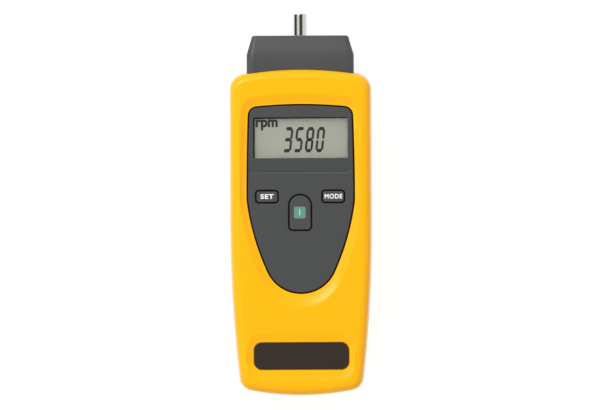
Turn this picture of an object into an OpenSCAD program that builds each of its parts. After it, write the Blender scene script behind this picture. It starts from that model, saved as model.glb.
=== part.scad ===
// Hand-held laser tachometer with its contact adapter fitted.
// Two drafted shells hold a sunk panel with a display and three keys, an optical head
// and two cells. The adapter plugs into the head, and its shaft runs in two ball bearings.
// Millimetres: X to the right, Y towards the shaft, Z up out of the display.
// The origin is the mouth of the tripod bush, on the back of the case.

/* [Case] */
// Width of the case at its seam
case_w = 61; // [60:0.5:64]
// Length of the case from tail to head
case_l = 141.3; // [138:0.1:150]
// Thickness of the case
case_h = 40; // [39.5:0.5:44]
// Height of the seam between the shells
seam_z = 19; // [19:0.5:21]
// Wall of the shells
wall = 2.2; // [1.9:0.1:2.3]
// Distance from the tail to the tripod bush
bush_from_tail = 85; // [82:0.5:88]
// Radius of the curved head end
head_r = 150; // [130:10:250]
// Radius of the corners at the head
shoulder_r = 7.3; // [6.8:0.1:8]
// Radius of the curved tail end
tail_r = 114; // [100:2:160]
// Radius of the corners at the tail
heel_r = 6.3; // [5.8:0.1:7]
// Radius of the slow curve in which the sides draw in
flank_r = 600; // [500:10:900]
// Distance from the tail at which the sides begin to draw in
taper_from_tail = 74; // [60:1:80]
// Radius of the front edge
front_edge_r = 3.8; // [3:0.1:4.1]
// How far the front shell draws in between the seam and its edge
front_draft = 0.7; // [0.3:0.1:0.9]
// Radius of the back edge
back_edge_r = 3.2; // [2.8:0.1:3.5]
// How far the rear shell draws in between the seam and its edge
back_draft = 0.8; // [0.4:0.1:1]

/* [Panel] */
// Width of the panel
panel_w = 46.5; // [46:0.1:47]
// Length of the panel
panel_l = 80.5; // [79.5:0.1:82.5]
// Distance from the head to the panel
panel_from_head = 16.6; // [16.3:0.1:17.2]
// Depth of the panel below the front face
panel_sink = 1.4; // [1:0.1:1.6]
// Thickness of the panel
panel_t = 3.2; // [3:0.1:3.4]
// Radius of the panel's rounded lower end
chin_r = 15.9; // [15.3:0.1:17]
// Radius of the panel's long lower sides
jaw_r = 106.5; // [102:0.5:118]
// Angle at which the lower sides run into the lower end
jaw_angle = 24.6; // [24:0.1:26]
// Radius of the bend at the panel's widest place
hip_r = 18; // [12:1:22]
// Radius of the panel's long upper sides
cheek_r = 950; // [700:50:1500]
// Radius of the panel's upper corners
temple_r = 4; // [3.4:0.1:4.4]
// Radius of the panel's upper end
brow_r = 190; // [160:5:260]

/* [Display] */
// Width of the opening over the display
view_w = 40.4; // [39:0.1:40.6]
// Height of the opening over the display
view_h = 17.4; // [16.4:0.1:17.6]
// Distance from the panel's upper end to the opening
view_from_brow = 5.3; // [5.2:0.1:5.9]
// Distance from the panel's upper end to the lower edge of the display bezel
bezel_l = 29.1; // [28:0.1:31]
// Height of a digit
digit_h = 10.4; // [9:0.1:12]
// Width of a digit
digit_w = 3.2; // [2.8:0.1:3.5]
// Distance from one digit to the next
digit_pitch = 4.55; // [4.3:0.05:4.8]
// Slant of the digits
digit_slant = 6.5; // [0:0.5:10]
// Number shown
shown = [3, 5, 8, 0]; // [0:1:9]

/* [Keys] */
// Width of the two small keys
small_key_w = 9.1; // [8.4:0.1:9.6]
// Height of the two small keys
small_key_h = 4.7; // [4.2:0.1:5.2]
// Distance of the small keys from the centre line
small_key_x = 14.2; // [13.6:0.1:14.6]
// Distance from the panel's upper end to the middle of the small keys
small_key_from_brow = 39.2; // [38.1:0.1:41.1]
// Width of the large key
large_key_w = 9.2; // [8.6:0.1:9.8]
// Length of the large key
large_key_l = 14.8; // [13.6:0.1:15.4]
// Distance from the panel's upper end to the large key
large_key_from_brow = 38.6; // [37.7:0.1:39.7]
// Gap round each key
key_gap = 0.6; // [0.5:0.05:0.8]
// How far the keys stand above the panel
key_rise = 0.5; // [0.3:0.1:0.8]
// Travel of the keys
key_travel = 0.7; // [0.4:0.1:0.8]

/* [Adapter] */
// Width of the adapter
adapter_w = 46; // [45:0.1:46.4]
// Distance from the faces of the case to the adapter
adapter_in = 3.7; // [3.5:0.1:4]
// How far the adapter stands out of the head
adapter_reach = 13.3; // [12.9:0.1:14.7]
// Depth of the socket that the adapter plugs into
socket_depth = 10.6; // [10.3:0.1:10.9]
// Length over which the adapter's nose narrows
nose_l = 8.3; // [7:0.1:9]
// How far each side of the nose narrows
nose_in = 2.1; // [1.4:0.1:2.2]
// Radius of the shaft outside the adapter
shaft_r = 2.75; // [2.7:0.05:3]
// How far the shaft stands out of the adapter
shaft_reach = 9.7; // [8:0.1:12]
// Outer radius of the bearings
bearing_r = 8; // [8:0.1:8.4]
// Width of the bearings
bearing_w = 5; // [4.8:0.1:5.1]
// Number of balls in each bearing
balls = 8; // [6:1:9]

/* [Cells] */
// Radius of a cell
cell_r = 7.2; // [7:0.05:7.25]
// Length of a cell with its tip
cell_l = 50.5; // [49.5:0.1:50.5]

/* [Hidden] */
// Every node, in the order in which the object goes together
$fn = 48;

// Colours of the materials
yellow_plastic = "#fbbf0e";
grey_plastic = "#515354";
key_plastic = "#585858";
adapter_plastic = "#5f6060";
plate_brown = "#3d3632";
key_green = "#6fa092";
steel = "#c4c8cc";
brass = "#c9a24b";
board_green = "#2f6b3c";
black_plastic = "#222224";

// Fits that many pieces share
over = 1;              // overrun of a cut past the face that it leaves by
loose = 0.3;           // gap of a piece that is dropped into place
slip = 0.2;            // gap of a piece that slides by hand
snug = 0.1;            // gap of a piece that is set into place
press = 0.01;          // gap left where the real pieces are pressed together
hull_fn = 32;          // sides of a round corner inside a hull

// Heights and ends that many pieces share
tail_y = -bush_from_tail;
head_y = tail_y + case_l;
half_w = case_w/2;
axle_z = case_h/2;
face_wall = wall + snug;
panel_z = case_h - panel_sink;
panel_base_z = panel_z - panel_t;

// Points of an arc about c; first is 0 where its first point isn't there already
function arc(c, r, from, to, steps, first = 1) =
    [for (i = [first:steps]) c + r*[cos(from + (to - from)*i/steps), sin(from + (to - from)*i/steps)]];

// Where two circles cross, on the side towards the head (1) or the tail (-1)
function meet(c1, r1, c2, r2, side) =
    let (d = norm(c2 - c1), u = (c2 - c1)/d, a = (r1*r1 - r2*r2 + d*d)/(2*d))
    c1 + a*u + side*sqrt(r1*r1 - a*a)*[-u.y, u.x];

function angle_of(v) = atan2(v.y, v.x);

// A whole outline from its right-hand half, which runs from the head to the tail
function both_sides(half) = concat(half, [for (i = [len(half) - 2:-1:1]) [-half[i].x, half[i].y]]);

// An outline at height z, and one partway between two others
function lift(outline, z) = [for (p = outline) [p.x, p.y, z]];
function between(from, to, share) = [for (i = [0:len(from) - 1]) from[i] + share*(to[i] - from[i])];

// A solid through rings that have the same number of points
module loft(rings) {
    n = len(rings[0]);
    last = len(rings) - 1;
    polyhedron(
        points = [for (ring = rings) each ring],
        faces = concat(
            [[for (i = [n:-1:1]) i%n]],
            [for (k = [0:last - 1], i = [0:n - 1]) let (a = k*n + i, b = k*n + (i + 1)%n)
                each [[a, b, b + n], [a, b + n, a + n]]],
            [[for (i = [0:n - 1]) last*n + i]]));
}

// A flat rectangle with round corners, about its middle
module rounded(w, l, r) {
    square([w - 2*r, l], center = true);
    square([w, l - 2*r], center = true);
    for (x = [-1, 1], y = [-1, 1]) translate([x*(w/2 - r), y*(l/2 - r)]) circle(r);
}

// Stands a shape that was drawn along Z so that it points along Y, at the height of the shaft
module along_y(y, x = 0, z = axle_z) translate([x, y, z]) rotate([-90, 0, 0]) children();

// Outline of the case: five arcs a side, each running into the next
curve_steps = 6;       // facets along a long curve
corner_steps = 5;      // facets round a corner
head_c = [0, head_y - head_r];
shoulder_c = [half_w - shoulder_r,
    head_c.y + sqrt(pow(head_r - shoulder_r, 2) - pow(half_w - shoulder_r, 2))];
flank_c = [half_w - flank_r, tail_y + taper_from_tail];
tail_c = [0, tail_y + tail_r];
heel_c = meet(flank_c, flank_r - heel_r, tail_c, tail_r - heel_r, -1);
shoulder_a = angle_of(shoulder_c - head_c);
flank_a = angle_of(heel_c - flank_c);
heel_a = angle_of(heel_c - tail_c);
function case_outline(inset) = both_sides(concat(
    arc(head_c, head_r - inset, 90, shoulder_a, curve_steps, 0),
    arc(shoulder_c, shoulder_r - inset, shoulder_a, 0, corner_steps),
    arc(flank_c, flank_r - inset, 0, flank_a, curve_steps, 0),
    arc(heel_c, heel_r - inset, flank_a, heel_a, corner_steps),
    arc(tail_c, tail_r - inset, heel_a, -90, curve_steps)));

// A solid through the case's outline at several levels, each given as [inset, z]
module case_loft(levels) loft([for (level = levels) lift(case_outline(level[0]), level[1])]);

// Levels of a rounded edge from the side at z up (way 1) or down (way -1) to the face
edge_steps = 5;        // facets round an edge
function edge_levels(inset, z, r, way) =
    [for (i = [0:edge_steps]) let (a = 90*i/edge_steps) [inset + r*(1 - cos(a)), z + way*r*sin(a)]];

seam_bevel = 0.3;      // bevel that draws the line of the seam
front_levels = concat([[seam_bevel, seam_z], [0, seam_z + seam_bevel]],
    edge_levels(front_draft, case_h - front_edge_r, front_edge_r, 1));
front_inner_r = front_edge_r - wall;
front_inner_levels = concat([[wall, seam_z - over], [wall, seam_z]],
    edge_levels(wall + front_draft, case_h - face_wall - front_inner_r, front_inner_r, 1));
function reversed(list) = [for (i = [len(list) - 1:-1:0]) list[i]];
rear_levels = concat(reversed(edge_levels(back_draft, back_edge_r, back_edge_r, -1)),
    [[0, seam_z - seam_bevel], [seam_bevel, seam_z]]);
back_inner_r = back_edge_r - wall;
rear_inner_levels = concat(reversed(edge_levels(wall + back_draft, wall + back_inner_r, back_inner_r, -1)),
    [[wall, seam_z], [wall, seam_z + over]]);

// Outline of the panel: six arcs a side, each running into the next
hip_steps = 2;         // facets round the bend at the widest place
chin_steps = 8;        // facets round half of the lower end
brow_y = head_y - panel_from_head;
chin_c = [0, brow_y - panel_l + chin_r];
jaw_c = chin_c + (jaw_r - chin_r)*[-cos(jaw_angle), sin(jaw_angle)];
hip_x = panel_w/2 - hip_r;
hip_c = [hip_x, jaw_c.y - sqrt(pow(jaw_r - hip_r, 2) - pow(hip_x - jaw_c.x, 2))];
cheek_c = [panel_w/2 - cheek_r, hip_c.y];
brow_c = [0, brow_y - brow_r];
temple_c = meet(cheek_c, cheek_r - temple_r, brow_c, brow_r - temple_r, 1);
brow_a = angle_of(temple_c - brow_c);
cheek_a = angle_of(temple_c - cheek_c);
hip_a = angle_of(hip_c - jaw_c);
function panel_outline(inset) = both_sides(concat(
    arc(brow_c, brow_r - inset, 90, brow_a, curve_steps, 0),
    arc(temple_c, temple_r - inset, brow_a, cheek_a, corner_steps),
    arc(cheek_c, cheek_r - inset, cheek_a, 0, curve_steps),
    arc(hip_c, hip_r - inset, 0, hip_a, hip_steps),
    arc(jaw_c, jaw_r - inset, hip_a, -jaw_angle, curve_steps),
    arc(chin_c, chin_r - inset, -jaw_angle, -90, chin_steps)));
function panel_half_w(y) = lookup(y, [for (p = panel_outline(0)) if (p.x > 0) [p.y, p.x]]);
module panel_shape(inset) polygon(panel_outline(inset));

// The dish that slopes from the front face down to the panel, widest at the lower end
dish_w = 2.9;          // width of the dish at the sides
dish_head_w = 4;       // width at the upper end
dish_chin_w = 5.4;     // width at the lower end
dish_steps = 3;        // facets across the dish
dish_power = 1.5;      // how hollow the dish is, 1 being straight
dish_head_share = 1 + (dish_head_w - dish_w)/(brow_y - hip_c.y);
dish_chin_share = 1 + (dish_chin_w - dish_w)/(hip_c.y - brow_y + panel_l);
dish_rim = [for (p = panel_outline(-dish_w))
    [p.x, hip_c.y + (p.y - hip_c.y)*(p.y > hip_c.y ? dish_head_share : dish_chin_share)]];
module panel_dish() {
    floor_ring = panel_outline(-loose);
    loft(concat(
        [for (i = [0:dish_steps]) let (share = i/dish_steps) lift(between(floor_ring, dish_rim, share),
            panel_z - snug + (panel_sink + snug)*pow(share, dish_power))],
        [lift(dish_rim, case_h + over)]));
}

// The well behind the face that carries the panel on a ledge
ledge_w = 1;           // width of the ledge under the panel
ledge_t = 1.5;         // thickness of the ledge
well_t = 1.6;          // wall of the well
module panel_well() translate([0, 0, panel_base_z - ledge_t])
    linear_extrude(case_h - panel_base_z + ledge_t - face_wall + snug) panel_shape(-loose - well_t);
module panel_opening() {
    translate([0, 0, panel_base_z]) linear_extrude(panel_t) panel_shape(-loose);
    translate([0, 0, seam_z]) linear_extrude(panel_base_z - seam_z + over) panel_shape(ledge_w);
}

// The name plate and the dish round it
plate_w = 40.6;        // width of the plate
plate_l = 11.5;        // height of the plate
plate_r = 3.3;         // radius of its corners
plate_t = 0.6;         // thickness
plate_from_tail = 17.3;        // from the tail to the middle of the plate
plate_sink = 0.9;      // depth of its top below the face
plate_dish_side = 2.6;         // width of the dish beside the plate
plate_dish_end = 4;    // width of the dish above and below the plate
plate_bow = 1.3;       // bulge of the dish's lower edge
plate_pad_t = 1.4;     // pad that backs the recess from inside
plate_steps = 4;       // facets along each half of the lower side
plate_y = tail_y + plate_from_tail;
plate_z = case_h - plate_sink;
function plate_outline(w, l, r, bow = 0) = let (c = [w/2 - r, l/2 - r], half = concat(
        [[0, l/2]],
        arc(c, r, 90, 0, corner_steps, 0), arc([c.x, -c.y], r, 0, -90, corner_steps, 0),
        [for (i = [plate_steps - 1:-1:0]) [c.x*i/plate_steps, -l/2]]))
    both_sides([for (p = half) [p.x, plate_y + p.y - (p.y < 0 ? bow*(1 - pow(2*p.x/w, 2)) : 0)]]);
plate_seat = plate_outline(plate_w + 2*loose, plate_l + 2*loose, plate_r + loose);
plate_rim = plate_outline(plate_w + 2*plate_dish_side, plate_l + 2*plate_dish_end,
    plate_r + plate_dish_side, plate_bow);
module plate_dish() {
    translate([0, 0, plate_z - plate_t]) linear_extrude(plate_t + over) polygon(plate_seat);
    loft(concat(
        [for (i = [0:dish_steps]) let (share = i/dish_steps) lift(between(plate_seat, plate_rim, share),
            plate_z + plate_sink*pow(share, dish_power))],
        [lift(plate_rim, case_h + over)]));
}
module plate_pad() translate([0, plate_y, case_h - face_wall - plate_pad_t])
    linear_extrude(plate_pad_t + over) rounded(plate_w + 2*plate_dish_side, plate_l + 2*plate_dish_side,
        plate_r + plate_dish_side);
module name_plate() color(plate_brown) translate([0, plate_y, plate_z - plate_t])
    linear_extrude(plate_t) rounded(plate_w, plate_l, plate_r);

// The socket in the head, and the bulkhead behind it with the window of the optics
adapter_r = 3;         // radius of the adapter's long edges
socket_wall = 1.8;     // wall of the socket
bulkhead_t = 2;        // thickness of the bulkhead
window_w = 31;         // width of the window
window_l = 12;         // height of the window
window_t = 1.4;        // thickness of the window
window_r = 1.5;        // radius of its corners
window_rest = 1.3;     // width of the rim that it rests on
socket_y = head_y - socket_depth;
bulkhead_y = socket_y - bulkhead_t;
adapter_h = case_h - 2*adapter_in;
module socket_block() translate([-adapter_w/2 - slip - socket_wall, bulkhead_y, 0])
    cube([adapter_w + 2*slip + 2*socket_wall, socket_depth + bulkhead_t + over, case_h]);
module socket_hollow() {
    along_y(socket_y) linear_extrude(socket_depth + over)
        rounded(adapter_w + 2*slip, adapter_h + 2*slip, adapter_r + slip);
    along_y(socket_y - window_t, z = optic_z) linear_extrude(window_t + over)
        rounded(window_w + 2*snug, window_l + 2*snug, window_r + snug);
    along_y(bulkhead_y - over, z = optic_z) linear_extrude(bulkhead_t + over)
        rounded(window_w - 2*window_rest, window_l - 2*window_rest, window_r);
}
module optics_window() color("#5a1f24") along_y(socket_y - window_t, z = optic_z)
    linear_extrude(window_t) rounded(window_w, window_l, window_r);

// The four screws that hold the shells together, and their posts
post_r = 3.2;          // posts of the rear shell
boss_r = 2.6;          // bosses of the front shell
boss_h = 12;           // height of the bosses above the seam
screw_r = 1.5;         // shank of a case screw
screw_bite = 10;       // length of shank inside a boss
screw_head_r = 2.6;    // head
screw_head_h = 1.6;    // height of the head
screw_sink = 0.8;      // depth of the head below the back
screw_x = 23.6;        // distance of the upper screws from the centre line
screw_from_brow = 2.2; // from the panel's upper end up to the upper screws
lower_screw_x = 22.4;  // the same for the lower pair
lower_screw_from_tail = 35;
screw_places = [for (x = [-1, 1]) each [[x*screw_x, brow_y + screw_from_brow],
    [x*lower_screw_x, tail_y + lower_screw_from_tail]]];
module at_screws(z) for (p = screw_places) translate([p.x, p.y, z]) children();
module case_screws() color(steel) at_screws(screw_sink) rotate_extrude()
    polygon([[0, 0], [screw_head_r, 0], [screw_head_r, screw_head_h], [screw_r, screw_head_h],
        [screw_r, seam_z + screw_bite - screw_sink - screw_r],
        [0, seam_z + screw_bite - screw_sink]]);

lip_t = 1;             // thickness of the lip inside the seam
lip_h = 1.2;           // height of the lip
module seam_lip(height, gap) translate([0, 0, seam_z - over]) linear_extrude(height + over) difference() {
    polygon(case_outline(wall - lip_t - gap));
    polygon(case_outline(wall + gap));
}

module front_shell() color(yellow_plastic) difference() {
    case_loft(front_levels);
    difference() {
        case_loft(front_inner_levels);
        panel_well();
        plate_pad();
        socket_block();
        at_screws(seam_z) cylinder(h = case_h - seam_z, r = boss_r);
    }
    panel_opening();
    panel_dish();
    plate_dish();
    socket_hollow();
    seam_lip(lip_h + snug, snug);
    at_screws(seam_z - over) cylinder(h = boss_h + over, r = screw_r + press);
}

// The battery tub, its door and the rails that the door slides in
tub_wall = 1.2;        // wall of the tub
tub_from_tail = 8;     // from the tail to the inside of the tub
contact_t = 0.4;       // thickness of a contact
spring_l = 3.8;        // length of a spring under load
door_side = 2;         // how far the door reaches past the inside of the tub
door_end = 2.6;        // how far it reaches past the tub's upper end
door_lift = 0.3;       // its height above what the case lies on
tongue_w = 0.8;        // width of the tongues along the door's sides
tongue_t = 0.8;        // their thickness
rail_t = 1.4;          // plastic over and beside the rails
cell_x = cell_r + loose/2;
cell_z = wall + slip + cell_r;
tub_half = cell_x + cell_r + loose;
tub_y = tail_y + tub_from_tail;
tub_l = 2*contact_t + spring_l + cell_l;
tub_end_y = tub_y + tub_l;
tub_top = cell_z + cell_r + loose;
door_half = tub_half + door_side;
door_y = tub_end_y + door_end;
door_top = wall - slip;
tongue_z = door_top - tongue_t;
tab_w = 3;             // width of the tabs that lead up to the circuit board
module rail_cut(half, z, top) translate([-half, tail_y - over, z])
    cube([2*half, door_y + slip - tail_y + over, top - z]);
module battery_tub() {
    rail_half = door_half + tongue_w + slip + rail_t;
    translate([-rail_half, tail_y, 0]) cube([2*rail_half, door_y + slip + rail_t - tail_y, wall + rail_t]);
    translate([-tub_half - tub_wall, tub_y - tub_wall, 0])
        cube([2*(tub_half + tub_wall), tub_l + 2*tub_wall, tub_top + tub_wall]);
}
module tub_hollow() {
    translate([-tub_half, tub_y, -over]) cube([2*tub_half, tub_l, tub_top + over]);
    for (x = [-cell_x, cell_x]) translate([x - tab_w/2 - slip, tub_end_y - contact_t - slip, tub_top - over])
        cube([tab_w + 2*slip, contact_t + slip, tub_wall + 2*over]);
    rail_cut(door_half + slip, -over, wall);
    rail_cut(door_half + tongue_w + slip, tongue_z - slip, wall);
}

grip_n = 6;            // ribs under the thumb
grip_w = 15;           // length of a rib
grip_pitch = 2.2;      // distance from rib to rib
grip_depth = 0.6;      // depth of the hollows between them
grip_from_end = 6;     // from the door's end to the first hollow
module battery_door() color(yellow_plastic) difference() {
    union() {
        intersection() {
            case_loft(rear_levels);
            translate([-door_half, tail_y - over, door_lift])
                cube([2*door_half, door_y - tail_y + over, door_top - door_lift]);
        }
        translate([-door_half - tongue_w, tub_y, tongue_z])
            cube([2*(door_half + tongue_w), tub_l, tongue_t]);
    }
    for (i = [0:grip_n - 1])
        translate([0, door_y - grip_from_end - i*grip_pitch, door_lift]) rotate([0, 90, 0])
            cylinder(h = grip_w, r = grip_depth, center = true);
}

// The tripod bush, moulded into a boss of the rear shell
bush_r = 4.4;          // outside of the bush
bush_l = 8;            // length
bush_hole_r = 2.6;     // core of its thread
bush_hole_l = 7;       // depth of the thread
bush_waist = 0.4;      // depth of the waist that holds it in the plastic
bush_boss_t = 2.2;     // plastic round it
bush_cap_t = 1;        // plastic over it
bush_shape = [[0, bush_hole_l], [bush_hole_r, bush_hole_l], [bush_hole_r, 0], [bush_r, 0],
    [bush_r, bush_l/3], [bush_r - bush_waist, bush_l/3], [bush_r - bush_waist, bush_l*2/3],
    [bush_r, bush_l*2/3], [bush_r, bush_l], [0, bush_l]];
module tripod_bush() color(brass) rotate_extrude() polygon(bush_shape);
module bush_boss() cylinder(h = bush_l + bush_cap_t, r = bush_r + bush_boss_t);
module bush_seat() {
    rotate_extrude() polygon([[0, 0], [bush_r + press, 0], [bush_r + press, bush_l/3 + press],
        [bush_r - bush_waist + press, bush_l/3 + press],
        [bush_r - bush_waist + press, bush_l*2/3 - press], [bush_r + press, bush_l*2/3 - press],
        [bush_r + press, bush_l + press], [0, bush_l + press]]);
    translate([0, 0, -over]) cylinder(h = 2*over, r = bush_r + press);
}

// The optical head: a block with two bores, and the board behind it. Its middle, optic_z, is
// worked out below from the circuit board that it lies under
block_w = 24;          // width of the block
block_h = 12;          // height
block_l = 14;          // length
block_room = 0.4;      // from the block up to the circuit board
block_y = bulkhead_y - block_l;
optic_x = 6.8;         // distance of the two bores from the centre line
barrel_r = 3.4;        // outside of the laser's barrel
barrel_wall = 0.6;
barrel_l = 11;
lens_r = 4.6;          // receiver lens
lens_t = 2.8;          // its thickness at the middle
lens_edge_t = 1;       // and at the edge
lens_back = 0.3;       // its distance from the bulkhead
sight_r = 2.9;         // bore behind the receiver lens
rib_t = 1.6;           // ribs that carry the block
rib_x = 10;            // their distance from the centre line
module block_ribs() for (x = [-rib_x, rib_x])
    translate([x - rib_t/2, block_y, 0]) cube([rib_t, bulkhead_y - block_y + over, block_z]);
module optics_block() color(black_plastic) difference() {
    translate([-block_w/2, block_y, block_z]) cube([block_w, block_l, block_h]);
    along_y(block_y - over, -optic_x, optic_z) cylinder(h = block_l + 2*over, r = barrel_r + press);
    along_y(block_y - over, optic_x, optic_z) cylinder(h = block_l + over, r = sight_r);
    along_y(bulkhead_y - lens_t - lens_back, optic_x, optic_z)
        cylinder(h = lens_t + lens_back + over, r = lens_r + press);
}
module laser_barrel() color(brass) along_y(bulkhead_y - barrel_l, -optic_x, optic_z) difference() {
    cylinder(h = barrel_l, r = barrel_r);
    translate([0, 0, -over]) cylinder(h = barrel_l + 2*over, r = barrel_r - barrel_wall);
}

// A lens with one flat and one round face, its flat side at the origin
module lens(r, t, edge_t) {
    rise = t - edge_t;
    ball = (r*r + rise*rise)/(2*rise);
    rotate_extrude() intersection() {
        square([r, t]);
        translate([0, t - ball]) circle(ball, $fn = 180);
    }
}
small_lens_t = 1.8;    // collimating lens
small_lens_edge_t = 0.8;
small_lens_back = 1.6; // its distance from the bulkhead
small_lens_y = bulkhead_y - small_lens_back - small_lens_t;
module collimating_lens() color("#bcd2dc") along_y(small_lens_y, -optic_x, optic_z)
    lens(barrel_r - barrel_wall - press, small_lens_t, small_lens_edge_t);
module receiver_lens() color("#bcd2dc") along_y(bulkhead_y - lens_back - lens_t, optic_x, optic_z)
    lens(lens_r, lens_t, lens_edge_t);

diode_can_r = 2.3;     // laser diode
diode_can_l = 2.4;
diode_flange_t = 1.2;
diode_depth = 0.8;     // its distance inside the barrel's end
lead_r = 0.22;
lead_circle_r = 1.2;
leads = 3;
sensor_t = 1.2;        // board behind the block
photo_w = 4.4;         // photodiode
photo_h = 3.6;
photo_l = 1.8;
module laser_diode() {
    y = bulkhead_y - barrel_l + diode_depth;
    color(brass) along_y(y, -optic_x, optic_z) {
        cylinder(h = diode_flange_t, r = barrel_r - barrel_wall - press);
        cylinder(h = diode_flange_t + diode_can_l, r = diode_can_r);
    }
    color(steel) for (i = [0:leads - 1]) along_y(block_y, -optic_x, optic_z) rotate([0, 0, 360/leads*i])
        translate([lead_circle_r, 0, 0]) cylinder(h = y - block_y + diode_flange_t/2, r = lead_r);
}
module photodiode() color(black_plastic) translate([optic_x - photo_w/2, block_y, optic_z - photo_h/2])
    cube([photo_w, photo_l, photo_h]);
module sensor_board() color(board_green) translate([-block_w/2, block_y - sensor_t, block_z])
    cube([block_w, sensor_t, block_h]);

module rear_shell() color(yellow_plastic) difference() {
    union() {
        difference() {
            case_loft(rear_levels);
            difference() {
                case_loft(rear_inner_levels);
                socket_block();
                battery_tub();
                bush_boss();
                block_ribs();
                at_screws(0) cylinder(h = seam_z, r = post_r);
            }
        }
        seam_lip(lip_h, 0);
    }
    socket_hollow();
    tub_hollow();
    bush_seat();
    at_screws(-over) cylinder(h = seam_z + 2*over, r = screw_r + snug);
    at_screws(-over) cylinder(h = screw_sink + screw_head_h + over, r = screw_head_r + slip);
    at_screws(seam_z) cylinder(h = lip_h + over, r = boss_r + snug);
}

// Keys: a cap that comes through the panel, a flange behind it and a stem below
key_r = 1;             // corners of the caps
large_key_r = 1.4;     // lower corners of the large key
key_bevel = 0.4;       // bevel round a cap
flange_w = 0.9;        // how far a flange reaches past the hole
flange_t = 0.9;
stem_r = 1.7;
stem_h = 1.8;
plunger_h = 2.2;
small_key_y = brow_y - small_key_from_brow;
large_key_y = brow_y - large_key_from_brow - large_key_l/2;
flange_z = panel_base_z - snug - flange_t;
cap_h = panel_z + key_rise - flange_z;
module small_shape(grow) rounded(small_key_w + 2*grow, small_key_h + 2*grow, key_r + max(grow, 0));
module large_shape(grow) {
    w = large_key_w + 2*grow;
    r = large_key_r + max(grow, 0);
    bottom = -large_key_l/2 - grow;
    top = large_key_l/2 - large_key_w/2;
    translate([0, top]) circle(w/2);
    translate([-w/2, bottom + r]) square([w, top - bottom - r]);
    translate([-w/2 + r, bottom]) square([w - 2*r, r + grow + large_key_r]);
    for (x = [-1, 1]) translate([x*(w/2 - r), bottom + r]) circle(r);
}
module key_holes() {
    for (x = [-1, 1]) translate([x*small_key_x, small_key_y]) small_shape(key_gap);
    translate([0, large_key_y]) large_shape(key_gap);
}
module key_stem() translate([0, 0, -stem_h]) cylinder(h = stem_h, r = stem_r);
module small_key(side) color(key_plastic) translate([side*small_key_x, small_key_y, flange_z]) {
    hull() {
        linear_extrude(cap_h - key_bevel) small_shape(0, $fn = hull_fn);
        linear_extrude(cap_h) small_shape(-key_bevel, $fn = hull_fn);
    }
    linear_extrude(flange_t) small_shape(key_gap + flange_w);
    key_stem();
}
module memory_key() small_key(-1);
module function_key() small_key(1);
module plunger(x, y) color(black_plastic) translate([x, y, flange_z - stem_h - plunger_h])
    cylinder(h = plunger_h, r = stem_r);
module memory_plunger() plunger(-small_key_x, small_key_y);
module function_plunger() plunger(small_key_x, small_key_y);
module power_plunger() plunger(0, large_key_y);

inlay_w = 5;           // green field in the large key
inlay_r = 0.8;
inlay_t = 0.3;
inlay_from_end = 7.4;  // from the key's lower end to the middle of the field
inlay_y = large_key_y - large_key_l/2 + inlay_from_end;
module power_key() color(grey_plastic) difference() {
    translate([0, large_key_y, flange_z]) {
        hull() {
            linear_extrude(cap_h - key_bevel) large_shape(0, $fn = hull_fn);
            linear_extrude(cap_h) large_shape(-key_bevel, $fn = hull_fn);
        }
        linear_extrude(flange_t) large_shape(key_gap + flange_w);
        key_stem();
    }
    translate([0, inlay_y, panel_z + key_rise - inlay_t]) linear_extrude(inlay_t + over)
        rounded(inlay_w + 2*press, inlay_w + 2*press, inlay_r);
}
module power_key_inlay() color(key_green) translate([0, inlay_y, panel_z + key_rise - inlay_t])
    linear_extrude(inlay_t) rounded(inlay_w, inlay_w, inlay_r);

// The panel, with the pocket of the display bezel and the posts of the circuit board
bezel_in = 1.2;        // from the panel's edge to the pocket
bezel_sink = 0.4;      // depth of the bezel's face below the panel's
bezel_t = 1.2;
bezel_r = 3;           // lower corners of the bezel
view_r = 0.6;          // corners of the opening
window_lap = 1.2;      // how far the window reaches under the bezel
display_t = 1;         // thickness of the window
panel_lap = 0.3;       // how far the panel's opening is wider than the bezel's
board_post_r = 1.4;
board_screw_r = 0.8;
board_screw_l = 6;
board_head_r = 1.5;
board_head_h = 1.1;
post_upper = [14, 3.1];        // upper posts: from the centre line and below the panel's upper end
post_lower = [6.2, 51.7];      // lower posts: in from the panel's edge and below its upper end
post_chin = 8.1;       // the single post, above the panel's lower end
switch_h = 3.5;        // height of a switch
stem_clear = key_travel + 2*slip;      // from a switch to the stem above it
view_y = brow_y - view_from_brow - view_h/2;
bezel_z = panel_z - bezel_sink - bezel_t;
display_z = bezel_z - display_t;
board_top = flange_z - stem_h - stem_clear - switch_h;
post_lower_x = panel_half_w(brow_y - post_lower.y) - post_lower.x;
board_posts = concat([for (x = [-1, 1]) each [[x*post_upper.x, brow_y - post_upper.y],
    [x*post_lower_x, brow_y - post_lower.y]]], [[0, brow_y - panel_l + post_chin]]);
module at_posts(z) for (p = board_posts) translate([p.x, p.y, z]) children();
module bezel_shape(gap) intersection() {
    panel_shape(bezel_in + gap);
    translate([0, brow_y - bezel_l/2]) rounded(panel_w - 2*bezel_in - 2*gap, bezel_l - 2*gap, bezel_r);
}
module face_panel() color(grey_plastic) difference() {
    union() {
        translate([0, 0, panel_base_z]) linear_extrude(panel_t) panel_shape(0);
        at_posts(board_top) cylinder(h = panel_base_z - board_top, r = board_post_r);
    }
    translate([0, 0, bezel_z]) linear_extrude(bezel_t + bezel_sink + over) bezel_shape(0);
    translate([0, view_y, display_z]) linear_extrude(display_t + over)
        rounded(view_w + 2*window_lap + 2*snug, view_h + 2*window_lap + 2*snug, view_r);
    translate([0, view_y, panel_base_z - over]) linear_extrude(panel_t)
        rounded(view_w + 2*panel_lap, view_h + 2*panel_lap, view_r);
    translate([0, 0, panel_base_z - over]) linear_extrude(panel_t + 2*over) key_holes();
    at_posts(board_top - over) cylinder(h = board_screw_l + over, r = board_screw_r + press);
}
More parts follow.
